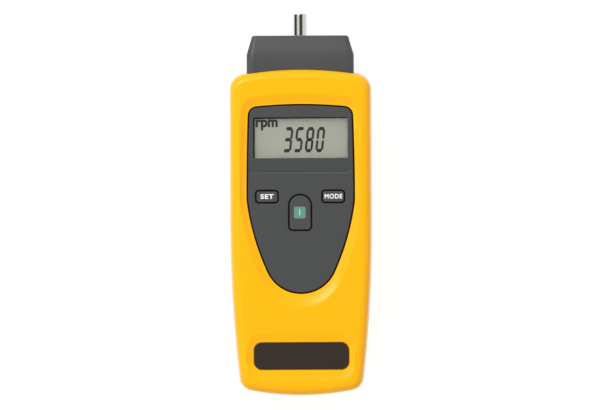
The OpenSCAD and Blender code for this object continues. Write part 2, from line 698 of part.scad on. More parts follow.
module display_bezel() color(grey_plastic) translate([0, 0, bezel_z]) linear_extrude(bezel_t) difference() {
    bezel_shape(snug);
    translate([0, view_y]) rounded(view_w, view_h, view_r);
}
module display_window() color("#dfe6e2", 0.4) translate([0, view_y, display_z]) linear_extrude(display_t)
    rounded(view_w + 2*window_lap, view_h + 2*window_lap, view_r);

// The display: glass, digits, holder and the two rubber connectors
glass_lap = 0.45;      // how far the glass reaches past the opening at its sides
glass_lap_end = 0.5;   // and at its ends
glass_t = 2.2;
holder_t = 0.6;        // wall of the holder round the glass
strip_w = 2;           // rubber connector
strip_in = 0.5;        // its distance from the glass's edge
strip_side = 1;        // what is left at its ends
holder_rib = 1;        // rib beside the connector
digit_t = 0.12;        // height of the printed segments
segment_w = 0.8;       // width of an upright segment
segment_tip = 0.74;    // length of its points
bar_w = 1.1;           // width of a level segment
bar_tip = 0.3;         // length of its points
segment_gap = 0.12;    // gap between segments
first_digit_x = -7.4;  // lower left corner of the first digit
digits_up = 0.9;       // how far the digits' middle lies below the opening's
glass_w = view_w + 2*glass_lap;
glass_l = view_h + 2*glass_lap_end;
glass_z = panel_base_z - glass_t;
module lcd_glass() color("#a9aa9c") translate([0, view_y, glass_z]) linear_extrude(glass_t)
    square([glass_w, glass_l], center = true);

// Which segments each digit lights: top, upper right, lower right, bottom, lower left,
// upper left and middle
segment_table = [[1,1,1,1,1,1,0], [0,1,1,0,0,0,0], [1,1,0,1,1,0,1], [1,1,1,1,0,0,1], [0,1,1,0,0,1,1],
    [1,0,1,1,0,1,1], [1,0,1,1,1,1,1], [1,1,1,0,0,0,0], [1,1,1,1,1,1,1], [1,1,1,1,0,1,1]];
// A bar with pointed ends from p to q, leaning with the digit
module segment(p, q, w, tip) {
    along = (q - p)/norm(q - p);
    across = [-along.y, along.x]*w/2;
    a = p + along*segment_gap/2;
    b = q - along*segment_gap/2;
    near = a + along*tip;
    far = b - along*tip;
    polygon([for (c = [a, near + across, far + across, b, far - across, near - across])
        [c.x + c.y*tan(digit_slant), c.y]]);
}
module digit(value) {
    inner_w = digit_w - segment_w;
    inner_h = digit_h - bar_w;
    corners = [[0, inner_h], [inner_w, inner_h], [inner_w, inner_h/2], [inner_w, 0], [0, 0], [0, inner_h/2]];
    ends = [[0, 1], [1, 2], [2, 3], [3, 4], [4, 5], [5, 0], [5, 2]];
    for (i = [0:len(ends) - 1]) if (segment_table[value][i] == 1)
        translate([segment_w/2, bar_w/2]) segment(corners[ends[i][0]], corners[ends[i][1]],
            i%3 == 0 ? bar_w : segment_w, i%3 == 0 ? bar_tip : segment_tip);
}
module lcd_digits() color("#2e2e22") for (i = [0:len(shown) - 1])
    translate([first_digit_x + i*digit_pitch, view_y - digits_up - digit_h/2, panel_base_z])
        linear_extrude(digit_t) digit(shown[i]);

module strip_places(grow) for (y = [-1, 1])
    translate([0, view_y + y*(glass_l/2 - strip_in - strip_w/2)])
        square([glass_w - 2*strip_side + 2*grow, strip_w + 2*grow], center = true);
module zebra_strips() color("#b9a9b4") translate([0, 0, board_top]) linear_extrude(glass_z - board_top)
    strip_places(0);
module lcd_holder() color("#e8e8e4") difference() {
    translate([0, view_y, board_top]) linear_extrude(panel_base_z - board_top)
        square([glass_w + 2*holder_t + 2*snug, glass_l + 2*holder_t + 2*snug], center = true);
    translate([0, view_y, glass_z]) linear_extrude(glass_t + over)
        square([glass_w + 2*snug, glass_l + 2*snug], center = true);
    translate([0, 0, board_top - over]) linear_extrude(glass_z - board_top + 2*over) strip_places(snug);
    translate([0, view_y, board_top - over]) linear_extrude(glass_z - board_top + 2*over)
        square([glass_w - 2*strip_side, glass_l - 2*strip_in - 2*strip_w - 2*holder_rib], center = true);
    at_posts(board_top - over) cylinder(h = panel_base_z - board_top + 2*over, r = board_post_r + loose);
}

// The circuit board and what it carries
board_t = 1.6;
board_in = 1.3;        // from the panel's edge to the board's
switch_w = 6;          // width of a switch
plunger_room = 0.5;    // room under a plunger that is pressed down
switch_well = plunger_h - stem_clear + key_travel + plunger_room;
chip_w = 10;           // processor
chip_t = 1.4;
chip_place = [2, 4];
lead_n = 8;            // leads a side
lead_w = 0.4;
lead_l = 1;
lead_pitch = 1;
crystal_w = 10.4;
crystal_h = 3.4;
crystal_t = 3.2;
crystal_place = [-12, 8];
capacitor_r = 2.5;
capacitor_h = 6.5;
capacitor_crimp = 0.3; // depth of the crimp near its foot
capacitor_foot = 1.2;
capacitor_places = [[12.5, 18], [12.5, 11.6], [-12, 16]];
link_w = 12.7;         // pin header between the boards
link_h = 2.5;
link_l = 2.4;
link_drop = 3;         // how far its pins reach down
pin_w = 0.6;
pins = 5;
pin_pitch = 2.54;
board_z = board_top - board_t;
optic_z = board_z - block_room - block_h/2;
block_z = optic_z - block_h/2;
switch_places = [[-small_key_x, small_key_y], [small_key_x, small_key_y], [0, large_key_y]];
module circuit_board() color(board_green) translate([0, 0, board_z]) difference() {
    linear_extrude(board_t) panel_shape(board_in);
    at_posts(-over) cylinder(h = board_t + 2*over, r = board_screw_r + snug);
}
module board_screws() color(steel) at_posts(board_z - board_head_h) rotate_extrude()
    polygon([[0, 0], [board_head_r, 0], [board_head_r, board_head_h], [board_screw_r, board_head_h],
        [board_screw_r, board_head_h + board_t + board_screw_l - board_screw_r],
        [0, board_head_h + board_t + board_screw_l - board_screw_r/2]]);
module tact_switches() color(black_plastic) for (p = switch_places) translate([p.x, p.y, board_top])
    difference() {
        translate([-switch_w/2, -switch_w/2, 0]) cube([switch_w, switch_w, switch_h]);
        translate([0, 0, switch_h - switch_well]) cylinder(h = switch_well + over, r = stem_r + slip);
    }
module processor_chip() translate([chip_place.x, chip_place.y, board_z - chip_t]) {
    color(black_plastic) translate([-chip_w/2, -chip_w/2, 0]) cube([chip_w, chip_w, chip_t]);
    color(steel) for (side = [0:3], i = [0:lead_n - 1]) rotate([0, 0, 90*side])
        translate([chip_w/2 - snug, (i - (lead_n - 1)/2)*lead_pitch - lead_w/2, chip_t/2])
            cube([lead_l + snug, lead_w, chip_t/2]);
}
module quartz_crystal() color(steel) translate([crystal_place.x, crystal_place.y, board_z - crystal_t])
    linear_extrude(crystal_t) rounded(crystal_w, crystal_h, crystal_h/2 - snug);
module capacitors() color("#2b3a55") for (p = capacitor_places)
    translate([p.x, p.y, board_z - capacitor_h]) rotate_extrude() difference() {
        square([capacitor_r, capacitor_h]);
        translate([capacitor_r, capacitor_h - capacitor_foot]) circle(capacitor_crimp, $fn = 24);
    }
module board_link() translate([0, block_y - sensor_t, board_z]) {
    color(black_plastic) translate([-link_w/2, -link_l, -link_h]) cube([link_w, link_l, link_h]);
    color(brass) for (i = [0:pins - 1]) translate([(i - (pins - 1)/2)*pin_pitch - pin_w/2, 0, 0]) {
        translate([0, -link_l/2 - pin_w/2, -link_h - link_drop]) cube([pin_w, pin_w, link_drop + snug]);
        translate([0, -link_l/2 - pin_w/2, -link_h - link_drop]) cube([pin_w, link_l/2 + pin_w/2, pin_w]);
    }
}

// The two cells, which lie head to tail, with their springs and contacts
tip_r = 2.75;
tip_l = 1.2;
cell_round = 0.8;      // rounding of a cell's ends
contact_w = 9;         // width of a contact's plate
contact_h = 9;         // its height
wire_r = 0.35;         // wire of a spring
spring_wide_r = 4.4;   // at its contact
spring_narrow_r = 3;   // at the cell
spring_turns = 3;
turn_steps = 14;       // rings a turn
wire_sides = 6;
// A cell pointing towards the head, or turned about to point towards the tail
module cell(x, turned) {
    body_l = cell_l - tip_l;
    y = turned ? tub_y + contact_t + cell_l : tub_y + contact_t + spring_l;
    color("#3f6fb0") along_y(y, x, cell_z) rotate([turned ? 180 : 0, 0, 0]) rotate_extrude()
        polygon(concat([[0, 0]],
            arc([cell_r - cell_round, cell_round], cell_round, -90, 0, corner_steps, 0),
            arc([cell_r - cell_round, body_l - cell_round], cell_round, 0, 90, corner_steps, 0),
            [[tip_r, body_l], [tip_r, cell_l], [0, cell_l]]));
}
module cell_left() cell(-cell_x, false);
module cell_right() cell(cell_x, true);

// A conical spring from its wide end at the origin up along Z
module spring() {
    steps = spring_turns*turn_steps;
    rise = spring_l - 2*wire_r - 2*snug;
    loft(reversed([for (k = [0:steps]) let (share = k/steps, turn = 360*spring_turns*share,
            r = spring_wide_r + (spring_narrow_r - spring_wide_r)*share)
        [for (j = [0:wire_sides - 1]) let (a = 360*j/wire_sides, d = r + wire_r*cos(a))
            [d*cos(turn), d*sin(turn), wire_r + snug + rise*share + wire_r*sin(a)]]]));
}
module spring_left() color(steel) along_y(tub_y + contact_t, -cell_x, cell_z) spring();
module spring_right() color(steel) along_y(tub_end_y - contact_t, cell_x, cell_z) rotate([180, 0, 0])
    spring();
module bridge_contact() color(steel) translate([-cell_x - contact_w/2, tub_y, cell_z - contact_h/2])
    cube([2*cell_x + contact_w, contact_t, contact_h]);
module supply_contact(x) color(steel) {
    translate([x - contact_w/2, tub_end_y - contact_t, cell_z - contact_h/2])
        cube([contact_w, contact_t, contact_h]);
    translate([x - tab_w/2, tub_end_y - contact_t, cell_z])
        cube([tab_w, contact_t, board_z - cell_z]);
}
module positive_contact() supply_contact(-cell_x);
module negative_contact() supply_contact(cell_x);

// The adapter: a cup whose nose carries the bearings in a boss
adapter_wall = 2.2;
nose_t = 2.6;          // thickness of the nose
nose_round = 0.8;      // rounding of its front edge
nose_steps = 3;        // facets of that rounding
section_steps = 5;     // facets round a long edge
bearing_boss_r = 11.6; // boss round the bearings
shaft_hole_r = 3.3;
web_t = 1.6;           // webs that tie the boss to the walls
spacer_l = 4;          // distance between the bearings
retainer_t = 1.4;
retainer_hole_r = 6.6;
retainer_circle_r = 9.8;
retainer_screw_r = 0.9;
retainer_screw_l = 5;
retainer_head_r = 1.5;
retainer_head_h = 0.9;
retainer_screws_n = 3;
nose_y = head_y + adapter_reach;
adapter_y = socket_y + slip;
front_bearing_y = nose_y - nose_t - bearing_w;
rear_bearing_y = front_bearing_y - spacer_l - bearing_w;
// A rounded section of the adapter at y, each side moved in by inset
function section(inset, y) = let (c = [adapter_w/2 - adapter_r - inset, adapter_h/2 - adapter_r - inset])
    [for (p = concat(arc([c.x, c.y], adapter_r, 90, 0, section_steps, 0),
        arc([c.x, -c.y], adapter_r, 0, -90, section_steps, 0),
        arc([-c.x, -c.y], adapter_r, -90, -180, section_steps, 0),
        arc([-c.x, c.y], adapter_r, 180, 90, section_steps, 0))) [p.x, y, axle_z + p.y]];
nose_levels = concat([[0, adapter_y], [0, nose_y - nose_l]],
    [for (i = [0:nose_steps]) let (a = 90*i/nose_steps)
        [nose_in + nose_round*(1 - cos(a)), nose_y - nose_round + nose_round*sin(a)]]);
cup_levels = [[adapter_wall, adapter_y - over], [adapter_wall, nose_y - nose_l - nose_t],
    [adapter_wall + nose_in, nose_y - nose_t]];
module adapter_loft(levels) loft(reversed([for (level = levels) section(level[0], level[1])]));
module retainer_circle() for (i = [0:retainer_screws_n - 1]) rotate([0, 0, 360/retainer_screws_n*i])
    translate([retainer_circle_r, 0, 0]) children();
module adapter_housing() color(adapter_plastic) difference() {
    adapter_loft(nose_levels);
    difference() {
        adapter_loft(cup_levels);
        along_y(rear_bearing_y) cylinder(h = nose_y - rear_bearing_y, r = bearing_boss_r);
        along_y(rear_bearing_y + spacer_l) {
            translate([-adapter_w/2, -web_t/2, 0]) cube([adapter_w, web_t, nose_y - rear_bearing_y]);
            translate([-web_t/2, -adapter_h/2, 0]) cube([web_t, adapter_h, nose_y - rear_bearing_y]);
        }
    }
    along_y(rear_bearing_y - over)
        cylinder(h = nose_y - nose_t - rear_bearing_y + over, r = bearing_r + press);
    along_y(nose_y - nose_t - over) cylinder(h = nose_t + 2*over, r = shaft_hole_r);
    along_y(rear_bearing_y - over) retainer_circle()
        cylinder(h = retainer_screw_l + over, r = retainer_screw_r + press);
}
module bearing_retainer() color(steel) along_y(rear_bearing_y - retainer_t) difference() {
    intersection() {
        cylinder(h = retainer_t, r = bearing_boss_r);
        linear_extrude(retainer_t) square([adapter_w, adapter_h] - 2*[1, 1]*(adapter_wall + slip),
            center = true);
    }
    translate([0, 0, -over]) {
        cylinder(h = retainer_t + 2*over, r = retainer_hole_r);
        retainer_circle() cylinder(h = retainer_t + 2*over, r = retainer_screw_r + snug);
    }
}
module retainer_screws() color(steel) along_y(rear_bearing_y - retainer_t - retainer_head_h)
    retainer_circle() {
        cylinder(h = retainer_head_h, r = retainer_head_r);
        cylinder(h = retainer_head_h + retainer_t + retainer_screw_l, r = retainer_screw_r);
    }

// The bearings: grooved rings, balls and a cage
journal_r = 2.5;       // shaft inside the bearings
ball_r = 1.5;
groove_gap = 0.05;     // running gap of a ball in its grooves
ring_lap = 0.5;        // how far a ring's shoulder rises past the ball's lowest point
cage_t = 1.6;          // radial thickness of a cage
cage_w = 3.8;
pocket_gap = 0.1;      // gap of a ball in its cage
pitch_r = (journal_r + bearing_r)/2;
inner_ring_r = pitch_r - ball_r + ring_lap;
outer_ring_r = pitch_r + ball_r - ring_lap;
module ring(y, inside, outside) color(steel) along_y(y) rotate_extrude() difference() {
    translate([inside, 0]) square([outside - inside, bearing_w]);
    translate([pitch_r, bearing_w/2]) circle(ball_r + groove_gap);
}
module round_the_pitch() for (i = [0:balls - 1]) rotate([0, 0, 360/balls*i])
    translate([pitch_r, 0, 0]) children();
module ball_set(y) color(steel) along_y(y + bearing_w/2) round_the_pitch() sphere(ball_r);
module cage(y) color(brass) along_y(y + bearing_w/2) difference() {
    rotate_extrude() translate([pitch_r - cage_t/2, -cage_w/2]) square([cage_t, cage_w]);
    round_the_pitch() rotate([0, 90, 0])
        cylinder(h = cage_t + 2*over, r = ball_r + pocket_gap, center = true);
}
module tube_piece(y, inside, outside, length) color(steel) along_y(y) rotate_extrude()
    translate([inside, 0]) square([outside - inside, length]);
module front_outer_ring() ring(front_bearing_y, outer_ring_r, bearing_r);
module rear_outer_ring() ring(rear_bearing_y, outer_ring_r, bearing_r);
module front_inner_ring() ring(front_bearing_y, journal_r + press, inner_ring_r);
module rear_inner_ring() ring(rear_bearing_y, journal_r + press, inner_ring_r);
module outer_spacer() tube_piece(rear_bearing_y + bearing_w, outer_ring_r, bearing_r, spacer_l);
module inner_spacer() tube_piece(rear_bearing_y + bearing_w, journal_r + press, inner_ring_r, spacer_l);
module front_balls() ball_set(front_bearing_y);
module rear_balls() ball_set(rear_bearing_y);
module front_cage() cage(front_bearing_y);
module rear_cage() cage(rear_bearing_y);

// The shaft, its clip, and the marked disc that the optics watch. A collar keeps the bearings
// back, and a neck clears the nose, so that a tip seats on the whole of the free end
collar_r = 3;
neck_r = 2.5;
neck_in = 0.3;         // how far the neck reaches into the nose
neck_out = 0.4;        // and out of it
clip_t = 0.8;
clip_r = 4;
clip_groove = 0.4;     // depth of the groove in the shaft
clip_mouth = 3.4;      // opening of the clip
seat_r = 2;            // shaft inside the disc
disc_r = 11;
disc_t = 1.2;
disc_back = 1.6;       // distance of the disc from the adapter's open end
shaft_bevel = 0.5;
mark_t = 0.12;
mark_w = 3;
mark_l = 6;
marks = 4;
mark_r = 7;            // distance of a mark's middle from the shaft
disc_y = adapter_y + disc_back;
clip_y = rear_bearing_y - clip_t;
module drive_shaft() color(steel) along_y(0) rotate_extrude()
    polygon([[0, disc_y], [seat_r, disc_y], [seat_r, disc_y + disc_t], [journal_r, disc_y + disc_t],
        [journal_r, clip_y], [journal_r - clip_groove, clip_y], [journal_r - clip_groove, clip_y + clip_t],
        [journal_r, clip_y + clip_t], [journal_r, front_bearing_y + bearing_w],
        [collar_r, front_bearing_y + bearing_w], [collar_r, nose_y - neck_in], [neck_r, nose_y - neck_in],
        [neck_r, nose_y + neck_out], [shaft_r, nose_y + neck_out],
        [shaft_r, nose_y + shaft_reach - shaft_bevel],
        [shaft_r - shaft_bevel, nose_y + shaft_reach], [0, nose_y + shaft_reach]]);
module retaining_clip() color(steel) along_y(clip_y) difference() {
    cylinder(h = clip_t, r = clip_r);
    translate([0, 0, -over]) cylinder(h = clip_t + 2*over, r = journal_r - clip_groove + press);
    translate([-clip_mouth/2, 0, -over]) cube([clip_mouth, clip_r + over, clip_t + 2*over]);
}
module reflector_disc() color(black_plastic) along_y(disc_y) rotate_extrude()
    translate([seat_r + press, 0]) square([disc_r - seat_r - press, disc_t]);
module reflector_marks() color("#e6e6e6") along_y(disc_y - mark_t) for (i = [0:marks - 1])
    rotate([0, 0, 360/marks*i]) translate([mark_r - mark_l/2, -mark_w/2, 0]) cube([mark_l, mark_w, mark_t]);

front_shell();
rear_shell();
battery_door();
tripod_bush();
case_screws();
name_plate();
face_panel();
display_bezel();
display_window();
lcd_glass();
lcd_digits();
lcd_holder();
zebra_strips();
circuit_board();
board_screws();
tact_switches();
memory_key();
memory_plunger();
function_key();
function_plunger();
power_key();
power_plunger();
power_key_inlay();
processor_chip();
quartz_crystal();
capacitors();
optics_window();
optics_block();
laser_barrel();
laser_diode();
collimating_lens();
receiver_lens();
photodiode();
sensor_board();
board_link();
cell_left();
cell_right();
spring_left();
spring_right();
bridge_contact();
positive_contact();
negative_contact();
adapter_housing();
bearing_retainer();
retainer_screws();
front_outer_ring();
rear_outer_ring();
outer_spacer();
drive_shaft();
front_inner_ring();
rear_inner_ring();
inner_spacer();
retaining_clip();
reflector_disc();
reflector_marks();
front_balls();
front_cage();
rear_balls();
rear_cage();
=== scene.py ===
"""A hand-held laser tachometer, lying on its back and seen from straight above.

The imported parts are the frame. Each section below makes or finishes one piece of the
instrument, in the order in which it goes together. Sizes are in millimetres.
"""
import math

import bmesh
import bpy
from mathutils import Matrix, Vector


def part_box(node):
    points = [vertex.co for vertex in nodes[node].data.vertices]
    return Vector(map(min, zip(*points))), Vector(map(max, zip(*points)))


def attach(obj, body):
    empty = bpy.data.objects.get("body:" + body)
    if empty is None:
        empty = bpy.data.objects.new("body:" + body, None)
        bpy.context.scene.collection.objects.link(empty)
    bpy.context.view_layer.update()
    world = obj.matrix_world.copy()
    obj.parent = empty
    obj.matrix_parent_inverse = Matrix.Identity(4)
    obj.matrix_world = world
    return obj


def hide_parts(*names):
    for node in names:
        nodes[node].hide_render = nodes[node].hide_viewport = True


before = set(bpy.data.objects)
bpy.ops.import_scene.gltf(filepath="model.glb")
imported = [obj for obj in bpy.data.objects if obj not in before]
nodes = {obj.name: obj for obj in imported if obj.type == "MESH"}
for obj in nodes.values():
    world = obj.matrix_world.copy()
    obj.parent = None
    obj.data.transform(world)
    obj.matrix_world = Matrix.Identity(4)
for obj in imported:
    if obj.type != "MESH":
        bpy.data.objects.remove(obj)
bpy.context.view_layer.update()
MM = 0.001


# Camera
# The instrument is photographed from straight above with a long lens, so its sides hardly
# show. Its axis leans a little in the picture.
frame_w = 615/2.33          # width of the picture at the instrument
aim = (2.85, -3.1, 30)      # middle of the picture
camera_distance = 3000
lean = -0.27                # degrees

camera = bpy.data.objects.new("camera", bpy.data.cameras.new("camera"))
camera.data.sensor_width = 36
camera.data.lens = camera.data.sensor_width*camera_distance/frame_w
camera.data.clip_end = 100
camera.location = [aim[0]*MM, aim[1]*MM, (aim[2] + camera_distance)*MM]
camera.rotation_euler = (0, 0, math.radians(lean))
bpy.context.scene.collection.objects.link(camera)
bpy.context.scene.camera = camera
bpy.context.scene.view_settings.view_transform = "Standard"


# Stage
# A white table under an even white sky, with a soft lamp to the upper left. A black card over
# the set keeps the sky's gloss off the level faces, a low one stands beside the shaft, and a
# third shades the right-hand sides a little.
def linear(colour):
    """An sRGB hex colour as linear values."""
    parts = [int(colour[i:i + 2], 16)/255 for i in (1, 3, 5)]
    return [*(c/12.92 if c <= 0.04045 else ((c + 0.055)/1.055)**2.4 for c in parts), 1]


def feed(node, values=None, links=None):
    """Gives the sockets of a node their values and links. A node as a source stands for its first output."""
    for socket, value in (values or {}).items():
        node.inputs[socket].default_value = value
    for socket, sources in (links or {}).items():
        for source in sources if isinstance(sources, list) else [sources]:
            node.id_data.links.new(getattr(source, "outputs", [source])[0], node.inputs[socket])


def add(tree, kind, values=None, links=None, **settings):
    """A new node of a tree, with its settings, the values of its sockets and what feeds them."""
    made = tree.nodes.new(kind)
    for name, value in settings.items():
        setattr(made, name, value)
    feed(made, values, links)
    return made


def new_material(name, values=None):
    """A material with some values of its shader, and its tree, shader and object coordinates."""
    material = bpy.data.materials.new(name)
    material.use_nodes = True
    tree = material.node_tree
    shader = tree.nodes["Principled BSDF"]
    feed(shader, values)
    return material, tree, shader, add(tree, "ShaderNodeTexCoord").outputs["Object"]


def seen_directly(tree):
    """1 for what the camera, a mirror or clear plastic shows, and 0 for light that bounces."""
    path = add(tree, "ShaderNodeLightPath")
    either = add(tree, "ShaderNodeMath", operation="MAXIMUM",
                 links={0: path.outputs["Is Camera Ray"], 1: path.outputs["Is Glossy Ray"]})
    return add(tree, "ShaderNodeMath", operation="MAXIMUM",
               links={0: either, 1: path.outputs["Is Transmission Ray"]})


sky_level = 0.76
world = bpy.data.worlds.new("white studio")
world.use_nodes = True
bpy.context.scene.world = world
world.node_tree.nodes.clear()
shown = seen_directly(world.node_tree)
level = add(world.node_tree, "ShaderNodeMapRange", {"To Min": sky_level, "To Max": 1.0}, {"Value": shown})
sky = add(world.node_tree, "ShaderNodeBackground", {"Color": linear("#ffffff")}, {"Strength": level})
add(world.node_tree, "ShaderNodeOutputWorld", links={"Surface": sky})


def flat_card(name, corners, material):
    """A flat four-cornered part of the stage."""
    mesh = bpy.data.meshes.new(name)
    mesh.from_pydata([[c*MM for c in corner] for corner in corners], [], [[0, 1, 2, 3]])
    mesh.materials.append(material)
    card = bpy.data.objects.new(name, mesh)
    bpy.context.scene.collection.objects.link(card)
    return card


# The table shows white where nothing shades it, and keeps a pale shadow
table_half = 6000
table_z = -0.02
table_paint = bpy.data.materials.new("white table")
table_paint.use_nodes = True
tree = table_paint.node_tree
tree.nodes.clear()
plain = add(tree, "ShaderNodeBsdfDiffuse", {"Color": linear("#e6e6e6")})
pale = add(tree, "ShaderNodeBsdfDiffuse", {"Color": linear("#8e8e8e")})
glow = add(tree, "ShaderNodeEmission", {"Color": linear("#ffffff"), "Strength": 0.85})
lit = add(tree, "ShaderNodeAddShader", links={0: pale, 1: glow})
either = add(tree, "ShaderNodeMixShader", links={0: seen_directly(tree), 1: plain, 2: lit})
add(tree, "ShaderNodeOutputMaterial", links={"Surface": either})
flat_card("table", [(-table_half, -table_half, table_z), (table_half, -table_half, table_z),
                    (table_half, table_half, table_z), (-table_half, table_half, table_z)], table_paint)

card_paint = bpy.data.materials.new("black card")
card_paint.use_nodes = True
card_paint.node_tree.nodes["Principled BSDF"].inputs["Base Color"].default_value = linear("#4e4b46")
low_card = [(-60, 64, 0), (-60, 88, 0), (-60, 88, 62), (-60, 64, 62)]
high_card = [(-300, -900, 1500), (-300, 1000, 1500), (1290, 1000, 1500), (1290, -900, 1500)]
side_card = [(420, -300, 0), (420, 300, 0), (420, 300, 130), (420, -300, 130)]
for name, corners, mirrored in (("card_beside", low_card, True), ("card_over", high_card, True),
                                ("card_right", side_card, False)):
    card = flat_card(name, corners, card_paint)
    card.visible_camera = card.visible_transmission = False
    card.visible_glossy = mirrored
    card.visible_diffuse = card.visible_shadow = not mirrored

lamp = bpy.data.objects.new("key lamp", bpy.data.lights.new("key lamp", "AREA"))
lamp.data.shape = "RECTANGLE"
lamp.data.size = 1.0                # metres
lamp.data.size_y = 0.34
lamp.data.energy = 21.5             # watts
lamp.location = (-0.74, 1.04, 1.46)
lamp.rotation_euler = (-lamp.location).to_track_quat("-Z", "Y").to_euler()
bpy.context.scene.collection.objects.link(lamp)


# Front shell
# The upper half of the case, injection moulded in yellow ABS with a fine spark-eroded texture.
# It is one drafted shell with a rounded edge, and dishes slope down to the panel and the plate.
def box_mm(node):
    """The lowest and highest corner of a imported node."""
    low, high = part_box(node)
    return low/MM, high/MM


def arc(centre, r, start, end, steps, first=1):
    """Points of an arc from one angle to another, in degrees."""
    turns = [math.radians(start + (end - start)*i/steps) for i in range(first, steps + 1)]
    return [centre + Vector((math.cos(a), math.sin(a)))*r for a in turns]


def meet(c1, r1, c2, r2, side):
    """Where two circles cross, on the side towards the head (1) or the tail (-1)."""
    apart = (c2 - c1).length
    u = (c2 - c1)/apart
    along = (r1*r1 - r2*r2 + apart*apart)/(2*apart)
    return c1 + u*along + Vector((-u.y, u.x))*side*math.sqrt(r1*r1 - along*along)


def angle_of(v):
    return math.degrees(math.atan2(v.y, v.x))


def both_sides(half):
    """A whole outline from its right-hand half, which runs from the head to the tail."""
    return half + [Vector((-p.x, p.y)) for p in half[-2:0:-1]]


case_low, case_high = box_mm("front_shell")
half_w = case_high.x
head_y = case_high.y
tail_y = case_low.y
case_h = case_high.z
seam_z = 19
seam_bevel = 0.3
wall = 2.2
long_steps = 16             # facets along a long curve
corner_steps = 12           # facets round a corner
head_r = 150
shoulder_r = 7.3
tail_r = 114
heel_r = 6.3
flank_r = 600
taper_from_tail = 74
head_c = Vector((0, head_y - head_r))
shoulder_c = Vector((half_w - shoulder_r,
                     head_c.y + math.sqrt((head_r - shoulder_r)**2 - (half_w - shoulder_r)**2)))
flank_c = Vector((half_w - flank_r, tail_y + taper_from_tail))
tail_c = Vector((0, tail_y + tail_r))
heel_c = meet(flank_c, flank_r - heel_r, tail_c, tail_r - heel_r, -1)
shoulder_a = angle_of(shoulder_c - head_c)
flank_a = angle_of(heel_c - flank_c)
heel_a = angle_of(heel_c - tail_c)


def case_outline(inset):
    """Outline of the case, drawn in by inset: five arcs a side, each running into the next."""
    return both_sides(arc(head_c, head_r - inset, 90, shoulder_a, long_steps, 0)
                      + arc(shoulder_c, shoulder_r - inset, shoulder_a, 0, corner_steps)
                      + arc(flank_c, flank_r - inset, 0, flank_a, long_steps, 0)
                      + arc(heel_c, heel_r - inset, flank_a, heel_a, corner_steps)
                      + arc(tail_c, tail_r - inset, heel_a, -90, long_steps))


panel_w = 46.5
panel_l = 81.4
brow_y = 40.2               # upper end of the panel
panel_z = 38.6
panel_t = 3.2
panel_base_z = panel_z - panel_t
chin_r = 15.9
jaw_r = 106.5
jaw_angle = 24.6
hip_r = 18
cheek_r = 950
temple_r = 4
brow_r = 190
chin_c = Vector((0, brow_y - panel_l + chin_r))
jaw_turn = math.radians(jaw_angle)
jaw_c = chin_c + Vector((-math.cos(jaw_turn), math.sin(jaw_turn)))*(jaw_r - chin_r)
hip_x = panel_w/2 - hip_r
hip_c = Vector((hip_x, jaw_c.y - math.sqrt((jaw_r - hip_r)**2 - (hip_x - jaw_c.x)**2)))
cheek_c = Vector((panel_w/2 - cheek_r, hip_c.y))
brow_c = Vector((0, brow_y - brow_r))
temple_c = meet(cheek_c, cheek_r - temple_r, brow_c, brow_r - temple_r, 1)
brow_a = angle_of(temple_c - brow_c)
cheek_a = angle_of(temple_c - cheek_c)
hip_a = angle_of(hip_c - jaw_c)


def panel_outline(inset):
    """Outline of the panel, drawn in by inset: six arcs a side, each running into the next."""
    return both_sides(arc(brow_c, brow_r - inset, 90, brow_a, long_steps, 0)
                      + arc(temple_c, temple_r - inset, brow_a, cheek_a, corner_steps)
                      + arc(cheek_c, cheek_r - inset, cheek_a, 0, long_steps)
                      + arc(hip_c, hip_r - inset, 0, hip_a, corner_steps)
                      + arc(jaw_c, jaw_r - inset, hip_a, -jaw_angle, long_steps)
                      + arc(chin_c, chin_r - inset, -jaw_angle, -90, long_steps))


def walls(bm, rings):
    """Faces through rings of points [outline, height], and the corners of each ring."""
    made = [[bm.verts.new((p.x, p.y, z)) for p in outline] for outline, z in rings]
    for low, high in zip(made, made[1:]):
        for i in range(len(low)):
            k = (i + 1) % len(low)
            bm.faces.new((low[i], low[k], high[k], high[i]))
    return made


def close(bm, rings):
    """Flat faces that fill the first ring and leave the others open."""
    if len(rings) == 1:
        bm.faces.new(rings[0])
        return
    edges = [bm.edges.get((ring[i], ring[(i + 1) % len(ring)])) for ring in rings for i in range(len(ring))]
    bmesh.ops.triangle_fill(bm, use_beauty=True, edges=edges)


def edge_levels(inset, z, r, way, steps):
    """[inset, height] of a rounded edge from the side up (way 1) or down (-1) to the face."""
    turns = [math.pi/2*i/steps for i in range(steps + 1)]
    return [(inset + r*(1 - math.cos(a)), z + way*r*math.sin(a)) for a in turns]


def solid(rings):
    """A closed solid through rings [outline, height]."""
    bm = bmesh.new()
    made = walls(bm, rings)
    close(bm, made[:1])
    close(bm, made[-1:])
    return bm


def prism(outline, low, high):
    return solid([(outline, low), (outline, high)])


def block(low, high):
    """A box between two corners."""
    corners = [Vector((low[0], low[1])), Vector((high[0], low[1])),
               Vector((high[0], high[1])), Vector((low[0], high[1]))]
    return prism(corners, low[2], high[2])


def place(bm, matrix):
    bm.transform(matrix)
    return bm


def turned(profile, steps=64):
    """A turned solid about Z, from its profile of [radius, height]; both ends lie on the axis."""
    bm = bmesh.new()
    rings = []
    for r, z in profile:
        if r == 0:
            rings.append([bm.verts.new((0, 0, z))])
        else:
            turns = [2*math.pi*i/steps for i in range(steps)]
            rings.append([bm.verts.new((r*math.cos(a), r*math.sin(a), z)) for a in turns])
    for low, high in zip(rings, rings[1:]):
        for i in range(steps):
            k = (i + 1) % steps
            corners = [low[i % len(low)], low[k % len(low)], high[k % len(high)], high[i % len(high)]]
            bm.faces.new(list(dict.fromkeys(corners)))
    return bm


def to_object(bm, name):
    """A bmesh as an object of the scene, its faces turned outwards."""
    bmesh.ops.recalc_face_normals(bm, faces=bm.faces)
    mesh = bpy.data.meshes.new(name)
    bm.to_mesh(mesh)
    bm.free()
    made = bpy.data.objects.new(name, mesh)
    bpy.context.scene.collection.objects.link(made)
    return made


